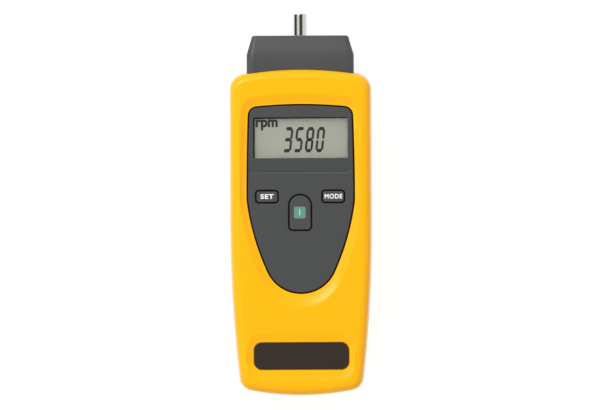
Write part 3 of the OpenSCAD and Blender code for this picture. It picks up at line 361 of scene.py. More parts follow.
def discard(*objects):
    for made in objects:
        mesh = made.data
        bpy.data.objects.remove(made)
        bpy.data.meshes.remove(mesh)


def carve(body, *cutters, way="DIFFERENCE"):
    """The body with each cutter taken away, added (UNION) or kept in common (INTERSECT)."""
    for cutter in cutters:
        whole = to_object(body, "carved")
        tool = to_object(cutter, "cutter")
        change = whole.modifiers.new("cut", "BOOLEAN")
        change.operation = way
        change.solver = "EXACT"
        change.object = tool
        result = whole.evaluated_get(bpy.context.evaluated_depsgraph_get()).to_mesh()
        body = bmesh.new()
        body.from_mesh(result)
        discard(whole, tool)
    return body


def finish_piece(made, name, material, body, replaced=(), sharp=32):
    """Scales a piece to metres, smooths its curved faces, and says what it rides on and replaces."""
    made.name = made.data.name = name
    made.data.transform(Matrix.Scale(MM, 4))
    made.data.materials.clear()
    made.data.materials.append(material)
    made.data.polygons.foreach_set("use_smooth", [True]*len(made.data.polygons))
    made.data.set_sharp_from_angle(angle=math.radians(sharp))
    # Large faces stay flat where they run into a rounded edge
    flats = made.modifiers.new("flats", "WEIGHTED_NORMAL")
    flats.keep_sharp = True
    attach(made, body)
    if replaced:
        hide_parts(*replaced)
    return made


def piece(bm, name, material, body, replaced=(), sharp=32):
    """A finished piece from a bmesh in millimetres."""
    bmesh.ops.remove_doubles(bm, verts=bm.verts, dist=0.0005)
    return finish_piece(to_object(bm, name), name, material, body, replaced, sharp)


def moulded(name, colour, roughness, grain, depth, drift=0.04, gloss=0.2):
    """A moulded plastic: an even colour with a fine spark-eroded grain of a size and a depth.

    The grain breaks up the gloss, and a slow drift in tone and gloss keeps it from looking flat.
    """
    material, tree, shader, where = new_material(name, {"IOR": 1.5, "Specular IOR Level": gloss})
    slow = add(tree, "ShaderNodeTexNoise", {"Scale": 1/(25*MM), "Detail": 3}, {"Vector": where})
    fine = add(tree, "ShaderNodeTexNoise", {"Scale": 1/(grain*MM), "Detail": 2}, {"Vector": where})
    shade = add(tree, "ShaderNodeMapRange",
                {"From Min": 0.3, "From Max": 0.7, "To Min": 1 - drift, "To Max": 1 + drift},
                {"Value": slow})
    tone = add(tree, "ShaderNodeVectorMath", {0: linear(colour)[:3]}, {1: shade},
               operation="MULTIPLY")
    polish = add(tree, "ShaderNodeMapRange", {"To Min": roughness - 0.06, "To Max": roughness + 0.06},
                 {"Value": fine})
    bump = add(tree, "ShaderNodeBump", {"Strength": 1, "Distance": depth*MM}, {"Height": fine})
    feed(shader, links={"Base Color": tone, "Roughness": polish, "Normal": bump})
    return material


# The real grain is about 0.1 mm, which the picture can't show, so it is drawn at 0.7 mm
yellow_abs = moulded("yellow ABS, spark-eroded mould", "#ffb501", 0.3, 0.7, 0.008, 0.012, 0.22)

front_edge_r = 3.8
front_draft = 0.7
edge_steps = 12
loose = 0.3                 # gap round the panel and the plate
dish_w = 2.9                # the dish at the sides, the upper end and the lower end
dish_head_w = 4
dish_chin_w = 5.4
dish_power = 1.4            # how hollow the dish is
dish_steps = 18
rim_round = 0.2             # how much of the slope is rounded off at the rim
dish_head_share = 1 + (dish_head_w - dish_w)/(brow_y - hip_c.y)
dish_chin_share = 1 + (dish_chin_w - dish_w)/(hip_c.y - brow_y + panel_l)


def dish_rim():
    """Outer edge of the dish round the panel, stretched about the panel's widest place."""
    return [Vector((p.x, hip_c.y + (p.y - hip_c.y)*(dish_head_share if p.y > hip_c.y else dish_chin_share)))
            for p in panel_outline(-dish_w)]


def dish_rings(floor, rim, floor_z):
    """Rings of a hollow slope from its floor up to the face, its rim rounded off."""
    last = (1 + rim_round)**(1/dish_power)
    rings = []
    for i in range(dish_steps + 1):
        share = last*i/dish_steps
        rise = share**dish_power
        near = max(rim_round - abs(rise - 1), 0)/rim_round
        rise = min(rise, 1) - near*near*rim_round/4
        rings.append(([a.lerp(b, share) if share <= 1 else a + (b - a)*share for a, b in zip(floor, rim)],
                      floor_z + (case_h - floor_z)*rise))
    return rings


plate_low, plate_high = box_mm("name_plate")
plate_y = (plate_low.y + plate_high.y)/2
plate_w = plate_high.x - plate_low.x
plate_l = plate_high.y - plate_low.y
plate_r = 3.3
plate_z = plate_high.z
plate_dish_side = 2.6
plate_dish_end = 4
plate_bow = 1.3             # bulge of the lower edge of the dish round the plate
plate_steps = 8


def plate_outline(w, l, r, bow=0):
    """A round-cornered outline about the plate's middle, its lower side bulging by bow."""
    c = Vector((w/2 - r, l/2 - r))
    half = [Vector((0, l/2))] + arc(c, r, 90, 0, corner_steps, 0)
    half += arc(Vector((c.x, -c.y)), r, 0, -90, corner_steps, 0)
    half += [Vector((c.x*i/plate_steps, -l/2)) for i in range(plate_steps - 1, -1, -1)]
    return both_sides([Vector((p.x, plate_y + p.y - (bow*(1 - (2*p.x/w)**2) if p.y < 0 else 0)))
                       for p in half])


plate_seat = plate_outline(plate_w + 2*loose, plate_l + 2*loose, plate_r + loose)
plate_rim = plate_outline(plate_w + 2*plate_dish_side, plate_l + 2*plate_dish_end,
                          plate_r + plate_dish_side, plate_bow)

# The outer skin, with the opening of the panel and the recess of the plate in it
front = bmesh.new()
levels = [(seam_bevel, seam_z), (0, seam_z + seam_bevel)]
levels += edge_levels(front_draft, case_h - front_edge_r, front_edge_r, 1, edge_steps)
skin = walls(front, [(case_outline(inset), z) for inset, z in levels])
ledge_w = 1
panel_floor = panel_outline(0)
ledge = panel_outline(ledge_w)
opening = walls(front, [(ledge, seam_z), (ledge, panel_base_z), (panel_floor, panel_base_z)]
                + dish_rings(panel_floor, dish_rim(), panel_z - 0.1))
recess = walls(front, [(plate_seat, plate_low.z)] + dish_rings(plate_seat, plate_rim, plate_z))
close(front, [skin[-1], opening[-1], recess[-1]])
close(front, [skin[0], opening[0]])
close(front, [recess[0]])


def rounded(w, l, r, x=0, y=0, steps=8):
    """A rectangle with round corners about a point."""
    c = Vector((w/2 - r, l/2 - r))
    middle = Vector((x, y))
    return (arc(middle + c, r, 0, 90, steps, 0)
            + arc(middle + Vector((-c.x, c.y)), r, 90, 180, steps, 0)
            + arc(middle - c, r, 180, 270, steps, 0)
            + arc(middle + Vector((c.x, -c.y)), r, 270, 360, steps, 0))


# What is cut out of both shells at the head: the socket and the seat of the optics window
axle_z = 20
socket_y = 45.7
bulkhead_t = 2
socket_wall = 1.8
slip = 0.2
adapter_w = 46
adapter_h = 32.6
adapter_r = 3
window_w = 31
window_l = 12
window_t = 1.4
window_r = 1.5
window_rest = 1.3


def along_y(bm, y, x=0, z=axle_z):
    """Stands a solid made along Z so that it points along Y from y."""
    return place(bm, Matrix.Translation((x, y, z)) @ Matrix.Rotation(-math.pi/2, 4, "X"))


def socket_cutters():
    mouth_outline = rounded(adapter_w + 2*slip, adapter_h + 2*slip, adapter_r + slip)
    return [along_y(prism(mouth_outline, 0, 12), socket_y),
            along_y(prism(rounded(window_w + slip, window_l + slip, window_r), 0, 5), socket_y - window_t),
            along_y(prism(rounded(window_w - 2*window_rest, window_l - 2*window_rest, window_r), 0, 9),
                    socket_y - bulkhead_t - 3)]


def socket_block():
    half = adapter_w/2 + slip + socket_wall
    return block((-half, socket_y - bulkhead_t, -5), (half, head_y + 5, case_h + 5))


ledge_t = 1.5
well_t = 1.6
plate_pad_t = 1.4
front_inner_r = front_edge_r - wall
inner_levels = [(wall, seam_z - 1), (wall, seam_z)]
inner_levels += edge_levels(wall + front_draft, case_h - wall - 0.1 - front_inner_r, front_inner_r, 1, 4)
hollow = solid([(case_outline(inset), z) for inset, z in inner_levels])
pad = plate_outline(plate_w + 2*plate_dish_side, plate_l + 2*plate_dish_side, plate_r + plate_dish_side)
hollow = carve(hollow, prism(panel_outline(-loose - well_t), panel_base_z - ledge_t, case_h),
               prism(pad, case_h - wall - plate_pad_t, case_h), socket_block())
front = carve(front, hollow, *socket_cutters())
piece(front, "shell_front", yellow_abs, "housing", ["front_shell"])


# Rear shell
# The lower half of the case in the same ABS, with the battery tub, the rails of the door, the
# recesses of the screws and the socket of the adapter moulded in.
back_edge_r = 3.2
back_draft = 0.8
back_inner_r = back_edge_r - wall
cell_r = 7.2
cell_x = 7.35
cell_z = 9.6
tub_half = 14.85
tub_y = -77
tub_end_y = -21.9
tub_top = 17.1
tub_wall = 1.2
door_high = box_mm("battery_door")[1]
door_y = door_high.y
door_half = 16.85
tongue_w = 0.8
tongue_z = 1.2
rail_t = 1.4
tab_w = 3
contact_t = 0.4
screw_places = [(23.6, 41.9), (22.4, -50)]
screw_head_r = 2.6
screw_top_z = 2.4           # where the heads rest
bush_r = 4.4
bush_l = 8


def rear_skin(low):
    """The outside of the rear half down to a height."""
    levels = edge_levels(back_draft, back_edge_r, back_edge_r, -1, edge_steps)[::-1]
    levels = [(inset, max(z, low)) for inset, z in levels if z > low - 0.3] if low else levels
    return solid([(case_outline(inset), z) for inset, z in
                  levels + [(0, seam_z - seam_bevel), (seam_bevel, seam_z)]])


inner_levels = edge_levels(wall + back_draft, wall + back_inner_r, back_inner_r, -1, 4)[::-1]
hollow = solid([(case_outline(inset), z) for inset, z in inner_levels + [(wall, seam_z), (wall, seam_z + 1)]])
rail_half = door_half + tongue_w + slip + rail_t
hollow = carve(hollow, socket_block(),
               block((-rail_half, tail_y, -1), (rail_half, door_y + slip + rail_t, wall + rail_t)),
               block((-tub_half - tub_wall, tub_y - tub_wall, -1),
                     (tub_half + tub_wall, tub_end_y + tub_wall, tub_top + tub_wall)),
               turned([(0, -1), (bush_r + 2.2, -1), (bush_r + 2.2, bush_l + 1), (0, bush_l + 1)]))
rear = carve(rear_skin(0), hollow, *socket_cutters(),
             block((-tub_half, tub_y, -1), (tub_half, tub_end_y, tub_top)),
             block((-door_half - slip, tail_y - 2, -1), (door_half + slip, door_y + slip, wall)),
             block((-door_half - tongue_w - slip, tail_y - 2, tongue_z - slip),
                   (door_half + tongue_w + slip, door_y + slip, wall)),
             *[block((x - tab_w/2 - slip, tub_end_y - contact_t - slip, tub_top - 1),
                     (x + tab_w/2 + slip, tub_end_y, tub_top + 4)) for x in (-cell_x, cell_x)])
# A small lead-in at the mouth of each recess catches the light, as a moulded edge does
mouth = 0.25
recess_r = screw_head_r + slip
for x, y in [(side*x, y) for x, y in screw_places for side in (-1, 1)]:
    recess = turned([(0, -1), (recess_r + mouth, -1), (recess_r + mouth, 0), (recess_r, mouth),
                     (recess_r, screw_top_z), (1.6, screw_top_z), (1.6, 30), (0, 30)])
    rear = carve(rear, place(recess, Matrix.Translation((x, y, 0))))
rear = carve(rear, turned([(0, -1), (bush_r + mouth, -1), (bush_r + mouth, 0), (bush_r, mouth),
                           (bush_r, bush_l), (0, bush_l)]))
piece(rear, "shell_rear", yellow_abs, "housing", ["rear_shell"])


# Contact adapter housing
# A grey ABS cup that plugs into the head. Its nose narrows to the front and carries the
# bearings of the shaft in a boss.
# The grain is drawn at 0.6 mm, as on the shells
grey_abs = moulded("dark grey ABS, spark-eroded mould", "#4b4c4c", 0.38, 0.6, 0.012)

adapter_y = 45.9
nose_y = 69.6
nose_l = 8.3
nose_in = 2.1
nose_round = 1.2
nose_t = 2.6
adapter_wall = 2.2
bearing_boss_r = 11.6
bearing_r = 8
rear_bearing_y = 53
front_bearing_y = 62
shaft_hole_r = 3.3
web_t = 1.6


def cup(levels):
    """A solid along the adapter through sections [sides drawn in by, faces drawn in by, y]."""
    return along_y(solid([(rounded(adapter_w - 2*side, adapter_h - 2*face, adapter_r - side/2, steps=12), y)
                          for side, face, y in levels]), 0)


def narrowed(y, ease_l):
    """How far the nose is drawn in at y, when it sets in over a length of twice ease_l."""
    t = max(y - nose_y + nose_l + ease_l, 0)
    return nose_in/(nose_l - nose_round)*(t*t/4/ease_l if t < 2*ease_l else t - ease_l)


# The nose sets in with a corner at the sides and softly on the faces
outside = [(0.3, 0.3, adapter_y), (0, 0, adapter_y + 0.3)]
outside += [(narrowed(y, 0.6), narrowed(y, 3), y) for y in [nose_y - nose_l + 0.3*i for i in range(-10, 11)]]
outside += [(inset, inset, y) for inset, y in edge_levels(nose_in, nose_y - nose_round, nose_round, 1, 8)]
inside = [(adapter_wall, adapter_wall, adapter_y - 1), (adapter_wall, adapter_wall, nose_y - nose_l - nose_t),
          (adapter_wall + nose_in, adapter_wall + nose_in, nose_y - nose_t)]
boss = along_y(turned([(0, 0), (bearing_boss_r, 0), (bearing_boss_r, 30), (0, 30)]), rear_bearing_y)
webs_y = rear_bearing_y + 4
hollow = carve(cup(inside), boss,
               block((-30, webs_y, axle_z - web_t/2), (30, nose_y, axle_z + web_t/2)),
               block((-web_t/2, webs_y, -5), (web_t/2, nose_y, case_h + 5)))
bore = along_y(turned([(0, -1), (bearing_r, -1), (bearing_r, nose_y - nose_t - rear_bearing_y),
                       (shaft_hole_r, nose_y - nose_t - rear_bearing_y),
                       (shaft_hole_r, nose_y - rear_bearing_y - mouth),
                       (shaft_hole_r + mouth, nose_y - rear_bearing_y), (shaft_hole_r + mouth, 40), (0, 40)]),
               rear_bearing_y)
housing = carve(cup(outside), hollow, bore)
piece(housing, "adapter_cup", grey_abs, "adapter", ["adapter_housing"])


# Shaft
# Turned from stainless rod, ground and polished, with a bevelled end and a centre mark. It
# mirrors the lamp along its middle, the dark boards beside that, and the table at its edges.
def metal(name, colour, roughness, scratch, depth):
    """A bare metal with fine turning or rolling marks of a size and a depth."""
    material, tree, shader, where = new_material(name, {"Metallic": 1, "Base Color": linear(colour)})
    marks = add(tree, "ShaderNodeTexNoise", {"Scale": 1/(scratch*MM), "Detail": 4}, {"Vector": where})
    polish = add(tree, "ShaderNodeMapRange", {"To Min": max(roughness - 0.05, 0.02),
                                              "To Max": roughness + 0.05}, {"Value": marks})
    bump = add(tree, "ShaderNodeBump", {"Strength": 1, "Distance": depth*MM}, {"Height": marks})
    feed(shader, links={"Roughness": polish, "Normal": bump})
    return material


polished_steel = metal("stainless steel, ground and polished", "#cdcbc5", 0.1, 0.6, 0.001)
shaft_low, shaft_high = box_mm("drive_shaft")
shaft_r = 2.92
journal_r = 2.5
seat_r = 2
seat_end_y = 48.7
clip_y = 52.2
clip_t = 0.8
shaft_end = shaft_high.y
shaft_bevel = 0.5
collar_r = 3
neck_r = 2.5
collar_y = front_bearing_y + 5
shaft_profile = [(0, shaft_low.y), (seat_r - 0.2, shaft_low.y), (seat_r, shaft_low.y + 0.2),
                 (seat_r, seat_end_y), (journal_r, seat_end_y), (journal_r, clip_y),
                 (journal_r - 0.4, clip_y), (journal_r - 0.4, clip_y + clip_t), (journal_r, clip_y + clip_t),
                 (journal_r, collar_y), (collar_r, collar_y), (collar_r, nose_y - 0.3),
                 (neck_r, nose_y - 0.3), (neck_r, nose_y + 0.4), (shaft_r, nose_y + 0.4),
                 (shaft_r, shaft_end - shaft_bevel)]
shaft_profile += [(shaft_r - shaft_bevel*(1 - math.cos(a)), shaft_end - shaft_bevel + shaft_bevel*math.sin(a))
                  for a in [math.pi/2*i/5 for i in range(1, 6)]]
shaft_profile += [(0.8, shaft_end), (0, shaft_end - 0.7)]
piece(along_y(turned(shaft_profile, 96), 0), "shaft", polished_steel, "spindle", ["drive_shaft"])


# Face panel
# A grey panel moulded in satin ABS, set on a ledge behind the dish. It has a shallow pocket
# for the display bezel, whose lower edge shows as a crease, and three holes for the keys.
panel_abs = moulded("grey ABS, satin mould", "#434546", 0.5, 0.6, 0.010, 0.02, 0.3)
bezel_z = 37
bezel_top = 38.05
bezel_in = 1.2
bezel_l = 29.1
bezel_r = 2.2
key_gap = 0.6
panel_gap = 0.65            # what shows of the gap round the panel
keys_aside = -0.28          # the keys stand a little to the left
small_key_w = 8.9
small_key_h = 4.55
small_key_x = 14.2
small_key_y = 0.5
large_key_w = 9.0
large_key_l = 14.6
large_key_y = -6.3
key_r = 1
large_key_r = 1.4
view_w = 40.4
view_h = 17.4
view_y = 25.7
view_r = 0.6


def small_key(side, grow):
    return rounded(small_key_w + 2*grow, small_key_h + 2*grow, key_r + grow,
                   side*small_key_x + keys_aside, small_key_y)


def large_key(grow):
    """Outline of the large key: square below and a half circle above."""
    w = large_key_w + 2*grow
    r = large_key_r + grow
    low = large_key_y - large_key_l/2 - grow
    high = large_key_y + large_key_l/2 - large_key_w/2
    outline = (arc(Vector((0, high)), w/2, 0, 180, 24, 0) + arc(Vector((r - w/2, low + r)), r, 180, 270, 8, 0)
               + arc(Vector((w/2 - r, low + r)), r, 270, 360, 8, 0))
    return [p + Vector((keys_aside, 0)) for p in outline]


def pocket(drop):
    """Outline of the bezel's pocket: the panel's own upper end and sides, and round lower corners.

    The lower side lies further down by drop.
    """
    low = brow_y - bezel_l
    right = [p for p in panel_outline(bezel_in) if p.x >= 0 and p.y > low + bezel_r]
    right = sorted(right, key=lambda p: math.atan2(p.x, p.y - low))
    corner = Vector((right[-1].x - bezel_r, low + bezel_r - drop))
    return both_sides(right + arc(corner, bezel_r, 0, -90, corner_steps, 0) + [Vector((0, low - drop))])


def slab(outlines, low, high, edge_r, steps=5):
    """A plate whose upper edges are rounded. Each outline is a function of how far the plate is cut back."""
    bm = bmesh.new()
    rims = [walls(bm, [(outline(0), low)] + [(outline(back), z) for back, z in
                                             edge_levels(0, high - edge_r, edge_r, 1, steps)])
            for outline in outlines]
    close(bm, [rim[0] for rim in rims])
    close(bm, [rim[-1] for rim in rims])
    return bm


key_holes = [lambda back: small_key(-1, key_gap + back), lambda back: small_key(1, key_gap + back),
             lambda back: large_key(key_gap + back)]
panel_edge_r = 0.45
crease = 2.6                # how much wider the slope below the bezel is than an edge
panel = slab([lambda back: panel_outline(panel_gap + back), lambda back: pocket(crease*back)] + key_holes,
             bezel_z, panel_z, panel_edge_r)
foot = prism(panel_outline(panel_gap), panel_base_z, bezel_z + 0.1)
for hole in key_holes:
    foot = carve(foot, prism(hole(0), panel_base_z - 1, bezel_z + 1))
foot = carve(foot,
             prism(rounded(view_w + 0.6, view_h + 0.6, view_r, 0, view_y), panel_base_z - 1, bezel_z + 1),
             prism(rounded(view_w + 2.6, view_h + 2.6, view_r, 0, view_y), bezel_z - 1, bezel_z + 1),
             prism(pocket(0), bezel_z, bezel_z + 1))
panel = carve(panel, foot, way="UNION")
piece(panel, "panel", panel_abs, "housing", ["face_panel"])


# A black strip in the gap round the panel reads as a dark line: painted shade, standing for the shadow deep
# in the gap
# Painted shade: a flat near-black for the gaps round the panel and the keys
gap_shade_black = moulded("near-black, painted shade of the gaps", "#15120f", 0.8, 0.5, 0.01, 0.02, 0.1)
gap_shade_top = panel_z - 0.9
panel_gap_shade = bmesh.new()
ring = [(panel_outline(panel_gap - 0.01), panel_base_z), (panel_outline(panel_gap - 0.01), gap_shade_top),
        (panel_outline(0.01), gap_shade_top), (panel_outline(0.01), panel_base_z)]
walls(panel_gap_shade, ring + ring[:1])
piece(panel_gap_shade, "panel_gap_painted_shade", gap_shade_black, "housing")


# Display bezel
# A thin satin frame of the same plastic, glued into the pocket. It is flush with the panel at
# its upper end and sides and dips towards its lower side, where the pocket's edge shows.
bezel = slab([lambda back: pocket(0), lambda back: rounded(view_w + 2*back, view_h + 2*back, view_r + back,
                                                           0, view_y)], bezel_z, bezel_top, 0.2)
dip_l = 4                   # length over which it dips
for corner in bezel.verts:
    if corner.co.z > bezel_top - 0.21:
        share = (corner.co.y - brow_y + bezel_l)/dip_l
        corner.co.z += (panel_z - bezel_top - 0.01)*min(max(share, 0), 1)
piece(bezel, "bezel", panel_abs, "housing", ["display_bezel"])


# Keys
# Hard caps moulded in a slightly lighter grey, each with its word printed in white. The large
# key has a printed green field with the bar sign for on.
key_abs = moulded("key ABS, satin mould", "#484849", 0.42, 0.5, 0.008, 0.02, 0.35)
white_print = moulded("white pad print", "#f0f0ee", 0.5, 0.4, 0.002, 0.01)
green_print = moulded("green enamel print", "#639385", 0.35, 0.5, 0.004, 0.03)
key_top = 39.1
key_base = 34.4
flange_t = 0.9
flange_w = 0.9
stem_h = 1.8
stem_r = 1.7
cap_edge_r = 0.45
# Top of the black lips that paint the shade in the gaps round the keys
key_gap_shade_top = 38


def key_solid(outline, x, y):
    """A cap with its flange and stem, as one solid."""
    stem = place(turned([(0, key_base - stem_h), (stem_r, key_base - stem_h), (stem_r, key_base + 0.3),
                         (0, key_base + 0.3)], 32), Matrix.Translation((x, y, 0)))
    cap = slab([lambda back: outline(-back)], key_base, key_top, cap_edge_r)
    return carve(cap, prism(outline(key_gap + flange_w), key_base, key_base + flange_t), stem, way="UNION")


piece(key_solid(lambda grow: small_key(-1, grow), -small_key_x + keys_aside, small_key_y),
      "key_memory", key_abs, "memory_key", ["memory_key"])
piece(key_solid(lambda grow: small_key(1, grow), small_key_x + keys_aside, small_key_y),
      "key_function", key_abs, "function_key", ["function_key"])
inlay_low, inlay_high = box_mm("power_key_inlay")
inlay_y = (inlay_low.y + inlay_high.y)/2
inlay_w = inlay_high.x - inlay_low.x
inlay_r = 0.8
inlay_x = keys_aside - 0.2
power = carve(key_solid(large_key, keys_aside, large_key_y),
              prism(rounded(inlay_w, inlay_w, inlay_r, inlay_x, inlay_y), inlay_low.z, key_top + 1))
piece(power, "key_power", key_abs, "power_key", ["power_key"])
field = prism(rounded(inlay_w, inlay_w, inlay_r, inlay_x, inlay_y), inlay_low.z, inlay_high.z - 0.02)
piece(field, "key_power_field", green_print, "power_key", ["power_key_inlay"])
bar_w = 0.45
bar_l = 2.7
print_t = 0.02
bar = prism(rounded(bar_w, bar_l, 0.1, inlay_x, inlay_y), key_top - 0.03, key_top - 0.03 + print_t)
mint_print = moulded("pale mint pad print", "#a5d6c6", 0.5, 0.4, 0.002, 0.01)
piece(bar, "key_power_bar", mint_print, "power_key")


# Black lips in the holes make the gaps round the keys black: painted shade, standing for the shadow deep in
# the gaps
key_gap_shade = bmesh.new()
for hole in (lambda grow: small_key(-1, grow), lambda grow: small_key(1, grow), large_key):
    ring = [(hole(0.04), key_base + flange_t + 0.1), (hole(0.04), key_gap_shade_top), (hole(key_gap - 0.04), key_gap_shade_top),
            (hole(key_gap - 0.04), key_base + flange_t + 0.1)]
    walls(key_gap_shade, ring + ring[:1])
piece(key_gap_shade, "key_gaps_painted_shade", gap_shade_black, "housing")


def word(text, height, x, y, z, thick, name, material, body, stroke=0.0, narrow=1.0, spread=1.0):
    """A printed word about a point, its capitals as high as height."""
    curve = bpy.data.curves.new(name, "FONT")
    curve.body = text
    curve.align_x = "CENTER"
    curve.align_y = "CENTER"
    curve.size = height/0.72
    curve.extrude = 0.05
    curve.bevel_depth = stroke
    curve.space_character = spread
    holder = bpy.data.objects.new(name, curve)
    bpy.context.scene.collection.objects.link(holder)
    mesh = bpy.data.meshes.new_from_object(holder.evaluated_get(bpy.context.evaluated_depsgraph_get()))
    bpy.data.objects.remove(holder)
    made = bpy.data.objects.new(name, mesh)
    bpy.context.scene.collection.objects.link(made)
    # The strokes are widened by a bevel, which is then pressed flat
    mesh.transform(Matrix.Translation((x, y, z)) @ Matrix.Diagonal((narrow, 1, thick/(0.1 + 2*stroke), 1)))
    return finish_piece(made, name, material, body)


word("SET", 1.95, -small_key_x + keys_aside, small_key_y, key_top, print_t, "word_left_key", white_print,
     "memory_key", stroke=0.09, narrow=1.2, spread=1.15)
word("MODE", 1.95, small_key_x + keys_aside, small_key_y, key_top, print_t, "word_right_key", white_print,
     "function_key", stroke=0.08, narrow=0.92, spread=1.15)


# Display
# A reflective liquid-crystal glass in a white holder, behind a clear acrylic window. A black band along the
# window's upper and left edges is a painted shadow of the bezel. The glass's ground is a greenish grey that
# glows a little, painted light, and its segments an olive black.
glass_high = box_mm("lcd_glass")[1]


def two_tone(tree, shader, colour_a, colour_b, share):
    """Gives a shader a base colour between two, by a share."""
    tone = add(tree, "ShaderNodeMix", {"A": linear(colour_a), "B": linear(colour_b)}, {"Factor": share},
               data_type="RGBA")
    feed(shader, links={"Base Color": tone.outputs["Result"]})


def speckled(name, colour_a, colour_b, grain, roughness, glow=0.0, metallic=0.0, gloss=0.2):
    """A finish that wanders between two colours in spots of a size."""
    material, tree, shader, where = new_material(name, {"Roughness": roughness, "Metallic": metallic,
                                                        "Specular IOR Level": gloss})
    spots = add(tree, "ShaderNodeTexNoise", {"Scale": 1/(grain*MM), "Detail": 2}, {"Vector": where})
    two_tone(tree, shader, colour_a, colour_b, spots)
    # A glow makes the finish shine by itself though it is no lamp: painted light
    if glow:
        feed(shader, {"Emission Color": linear(colour_a), "Emission Strength": glow})
    return material


def clear(name, colour, ior, roughness, gloss=0.5):
    """Clear plastic or glass, with faint wipe marks that the eye sees only in the light."""
    material, tree, shader, where = new_material(name, {
        "Base Color": linear(colour), "Roughness": roughness, "Transmission Weight": 1, "IOR": ior,
        "Specular IOR Level": gloss})
    wipes = add(tree, "ShaderNodeTexNoise", {"Scale": 1/(6*MM), "Detail": 4}, {"Vector": where})
    feed(shader, links={"Normal": add(tree, "ShaderNodeBump", {"Strength": 0.05, "Distance": 0.01*MM},
                                      {"Height": wipes})})
    return material


def cad_finish(name, material, bevel=0.0):
    """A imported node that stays, with its loose triangles joined, its edges eased and its finish."""
    made = nodes[name]
    made.data.materials.clear()
    made.data.materials.append(material)
    weld = made.modifiers.new("join", "WELD")
    weld.merge_threshold = 0.002*MM
    if bevel:
        ease = made.modifiers.new("ease", "BEVEL")
        ease.width = bevel*MM
        ease.segments = 2
        ease.limit_method = "ANGLE"
        ease.angle_limit = math.radians(50)


# The reflector's pearl grain is far below a millimetre, and is drawn at 0.5 mm
# The ground glows a little, painted light that keeps it even and bright behind the window
lcd_ground_and_painted_glow = speckled("liquid-crystal glass over a reflector, with a painted glow", "#a9aa9c", "#adaea1", 0.5, 0.4, 0.2)
lcd_dark = speckled("liquid-crystal segments", "#1b1b12", "#20201a", 0.5, 0.6, gloss=0.04)
clear_acrylic = clear("clear acrylic, hard-coated", "#ffffff", 1.49, 0.02, 0.1)
white_plastic = moulded("white polycarbonate", "#e8e8e4", 0.45, 0.6, 0.008)
cad_finish("lcd_glass", lcd_ground_and_painted_glow, 0.15)
cad_finish("lcd_holder", white_plastic, 0.1)
cad_finish("display_window", clear_acrylic)
word("rpm", 4.45, -14.5, 32.4, glass_high.z + 0.06, 0.12, "word_unit", lcd_dark, "housing",
     stroke=0.25, narrow=0.95)

# The digits: seven bars with pointed ends each, which lean with the digit
digit_h = 10.9
digit_w = 3.35
digit_pitch = 4.55
digit_slant = math.tan(math.radians(6.5))
first_digit_x = -7.47
upright_w = 0.95
upright_tip = 0.7
level_w = 1.5
level_tip = 0.4
bar_gap = 0.08
digits_y = view_y - 0.8 - digit_h/2
lit_bars = {3: "abcdg", 5: "acdfg", 8: "abcdefg", 0: "abcdef"}
inner = Vector((digit_w - upright_w, digit_h - level_w))
bar_ends = {"a": ((0, 1), (1, 1)), "b": ((1, 1), (1, 0.5)), "c": ((1, 0.5), (1, 0)), "d": ((1, 0), (0, 0)),
            "e": ((0, 0), (0, 0.5)), "f": ((0, 0.5), (0, 1)), "g": ((0, 0.5), (1, 0.5))}
meeting = {"a": ("f", "b"), "d": ("c", "e"), "g": ("ef", "bc")}
free_l = 0.35               # how much further a level bar reaches where no upright meets it
digits = bmesh.new()
for i, value in enumerate((3, 5, 8, 0)):
    corner = Vector((first_digit_x + i*digit_pitch, digits_y))
    for bar in lit_bars[value]:
        start, end = [Vector((p[0]*inner.x + upright_w/2, p[1]*inner.y + level_w/2)) for p in bar_ends[bar]]
        level = bar in "adg"
        w, tip = (level_w, level_tip) if level else (upright_w, upright_tip)
        along = (end - start).normalized()
        across = Vector((-along.y, along.x))*w/2
        near = [set(bars) & set(lit_bars[value]) for bars in meeting.get(bar, bar*2)]
        start += along*(bar_gap/2 if near[0] else -free_l)
        end -= along*(bar_gap/2 if near[1] else -free_l)
        points = [start, start + along*tip - across, end - along*tip - across, end, end - along*tip + across,
                  start + along*tip + across]
        rings = walls(digits, [([corner + Vector((p.x + p.y*digit_slant, p.y)) for p in points], z)
                               for z in (glass_high.z, glass_high.z + 0.12)])
        close(digits, rings[:1])
        close(digits, rings[-1:])
piece(digits, "digit_bars", lcd_dark, "housing", ["lcd_digits"])

# Painted shadow: a thin black band on the window along its upper and left edges, where the bezel's shadow
# falls under the lamp at the upper left
bezel_shadow_black = moulded("black, painted shadow of the bezel", "#141310", 0.6, 0.4, 0.002, 0.02, 0.1)
shadow_w = 0.6
view_left = -view_w/2
view_top = view_y + view_h/2
window_high = box_mm("display_window")[1]
shadow_band = [Vector(p) for p in (
    (view_left, view_y - view_h/2), (view_left + shadow_w*0.9, view_y - view_h/2),
    (view_left + shadow_w, view_top - shadow_w), (view_left + view_w, view_top - shadow_w*0.6),
    (view_left + view_w, view_top), (view_left, view_top))]
piece(prism(shadow_band, window_high.z, window_high.z + print_t), "window_painted_shadow", bezel_shadow_black,
      "housing")


# Rubber connectors
# Strips of layered silicone rubber, black conducting layers between pale ones, that join the
# glass to the circuit board. The layers are 0.05 mm apart, and are drawn at 0.4 mm.
zebra, tree, shader, where = new_material("layered silicone rubber", {"Roughness": 0.6})
layers = add(tree, "ShaderNodeTexWave", {"Scale": 1/(0.4*MM*20), "Distortion": 0}, {"Vector": where},
             bands_direction="X")
two_tone(tree, shader, "#2a2526", "#d8c7cd", layers.outputs["Fac"])
cad_finish("zebra_strips", zebra)


# Name plate
# A printed aluminium plate in dark brown, left bare, its edge eased.
plate_foil = moulded("anodised aluminium, dark brown", "#332b25", 0.38, 0.4, 0.006, 0.03)
plate_edge = 0.2


def plate_ring(inset):
    return plate_outline(plate_w - 2*inset, plate_l - 2*inset, plate_r - inset)


piece(slab([plate_ring], plate_low.z, plate_z, plate_edge), "plate", plate_foil, "housing",
      ["name_plate"])


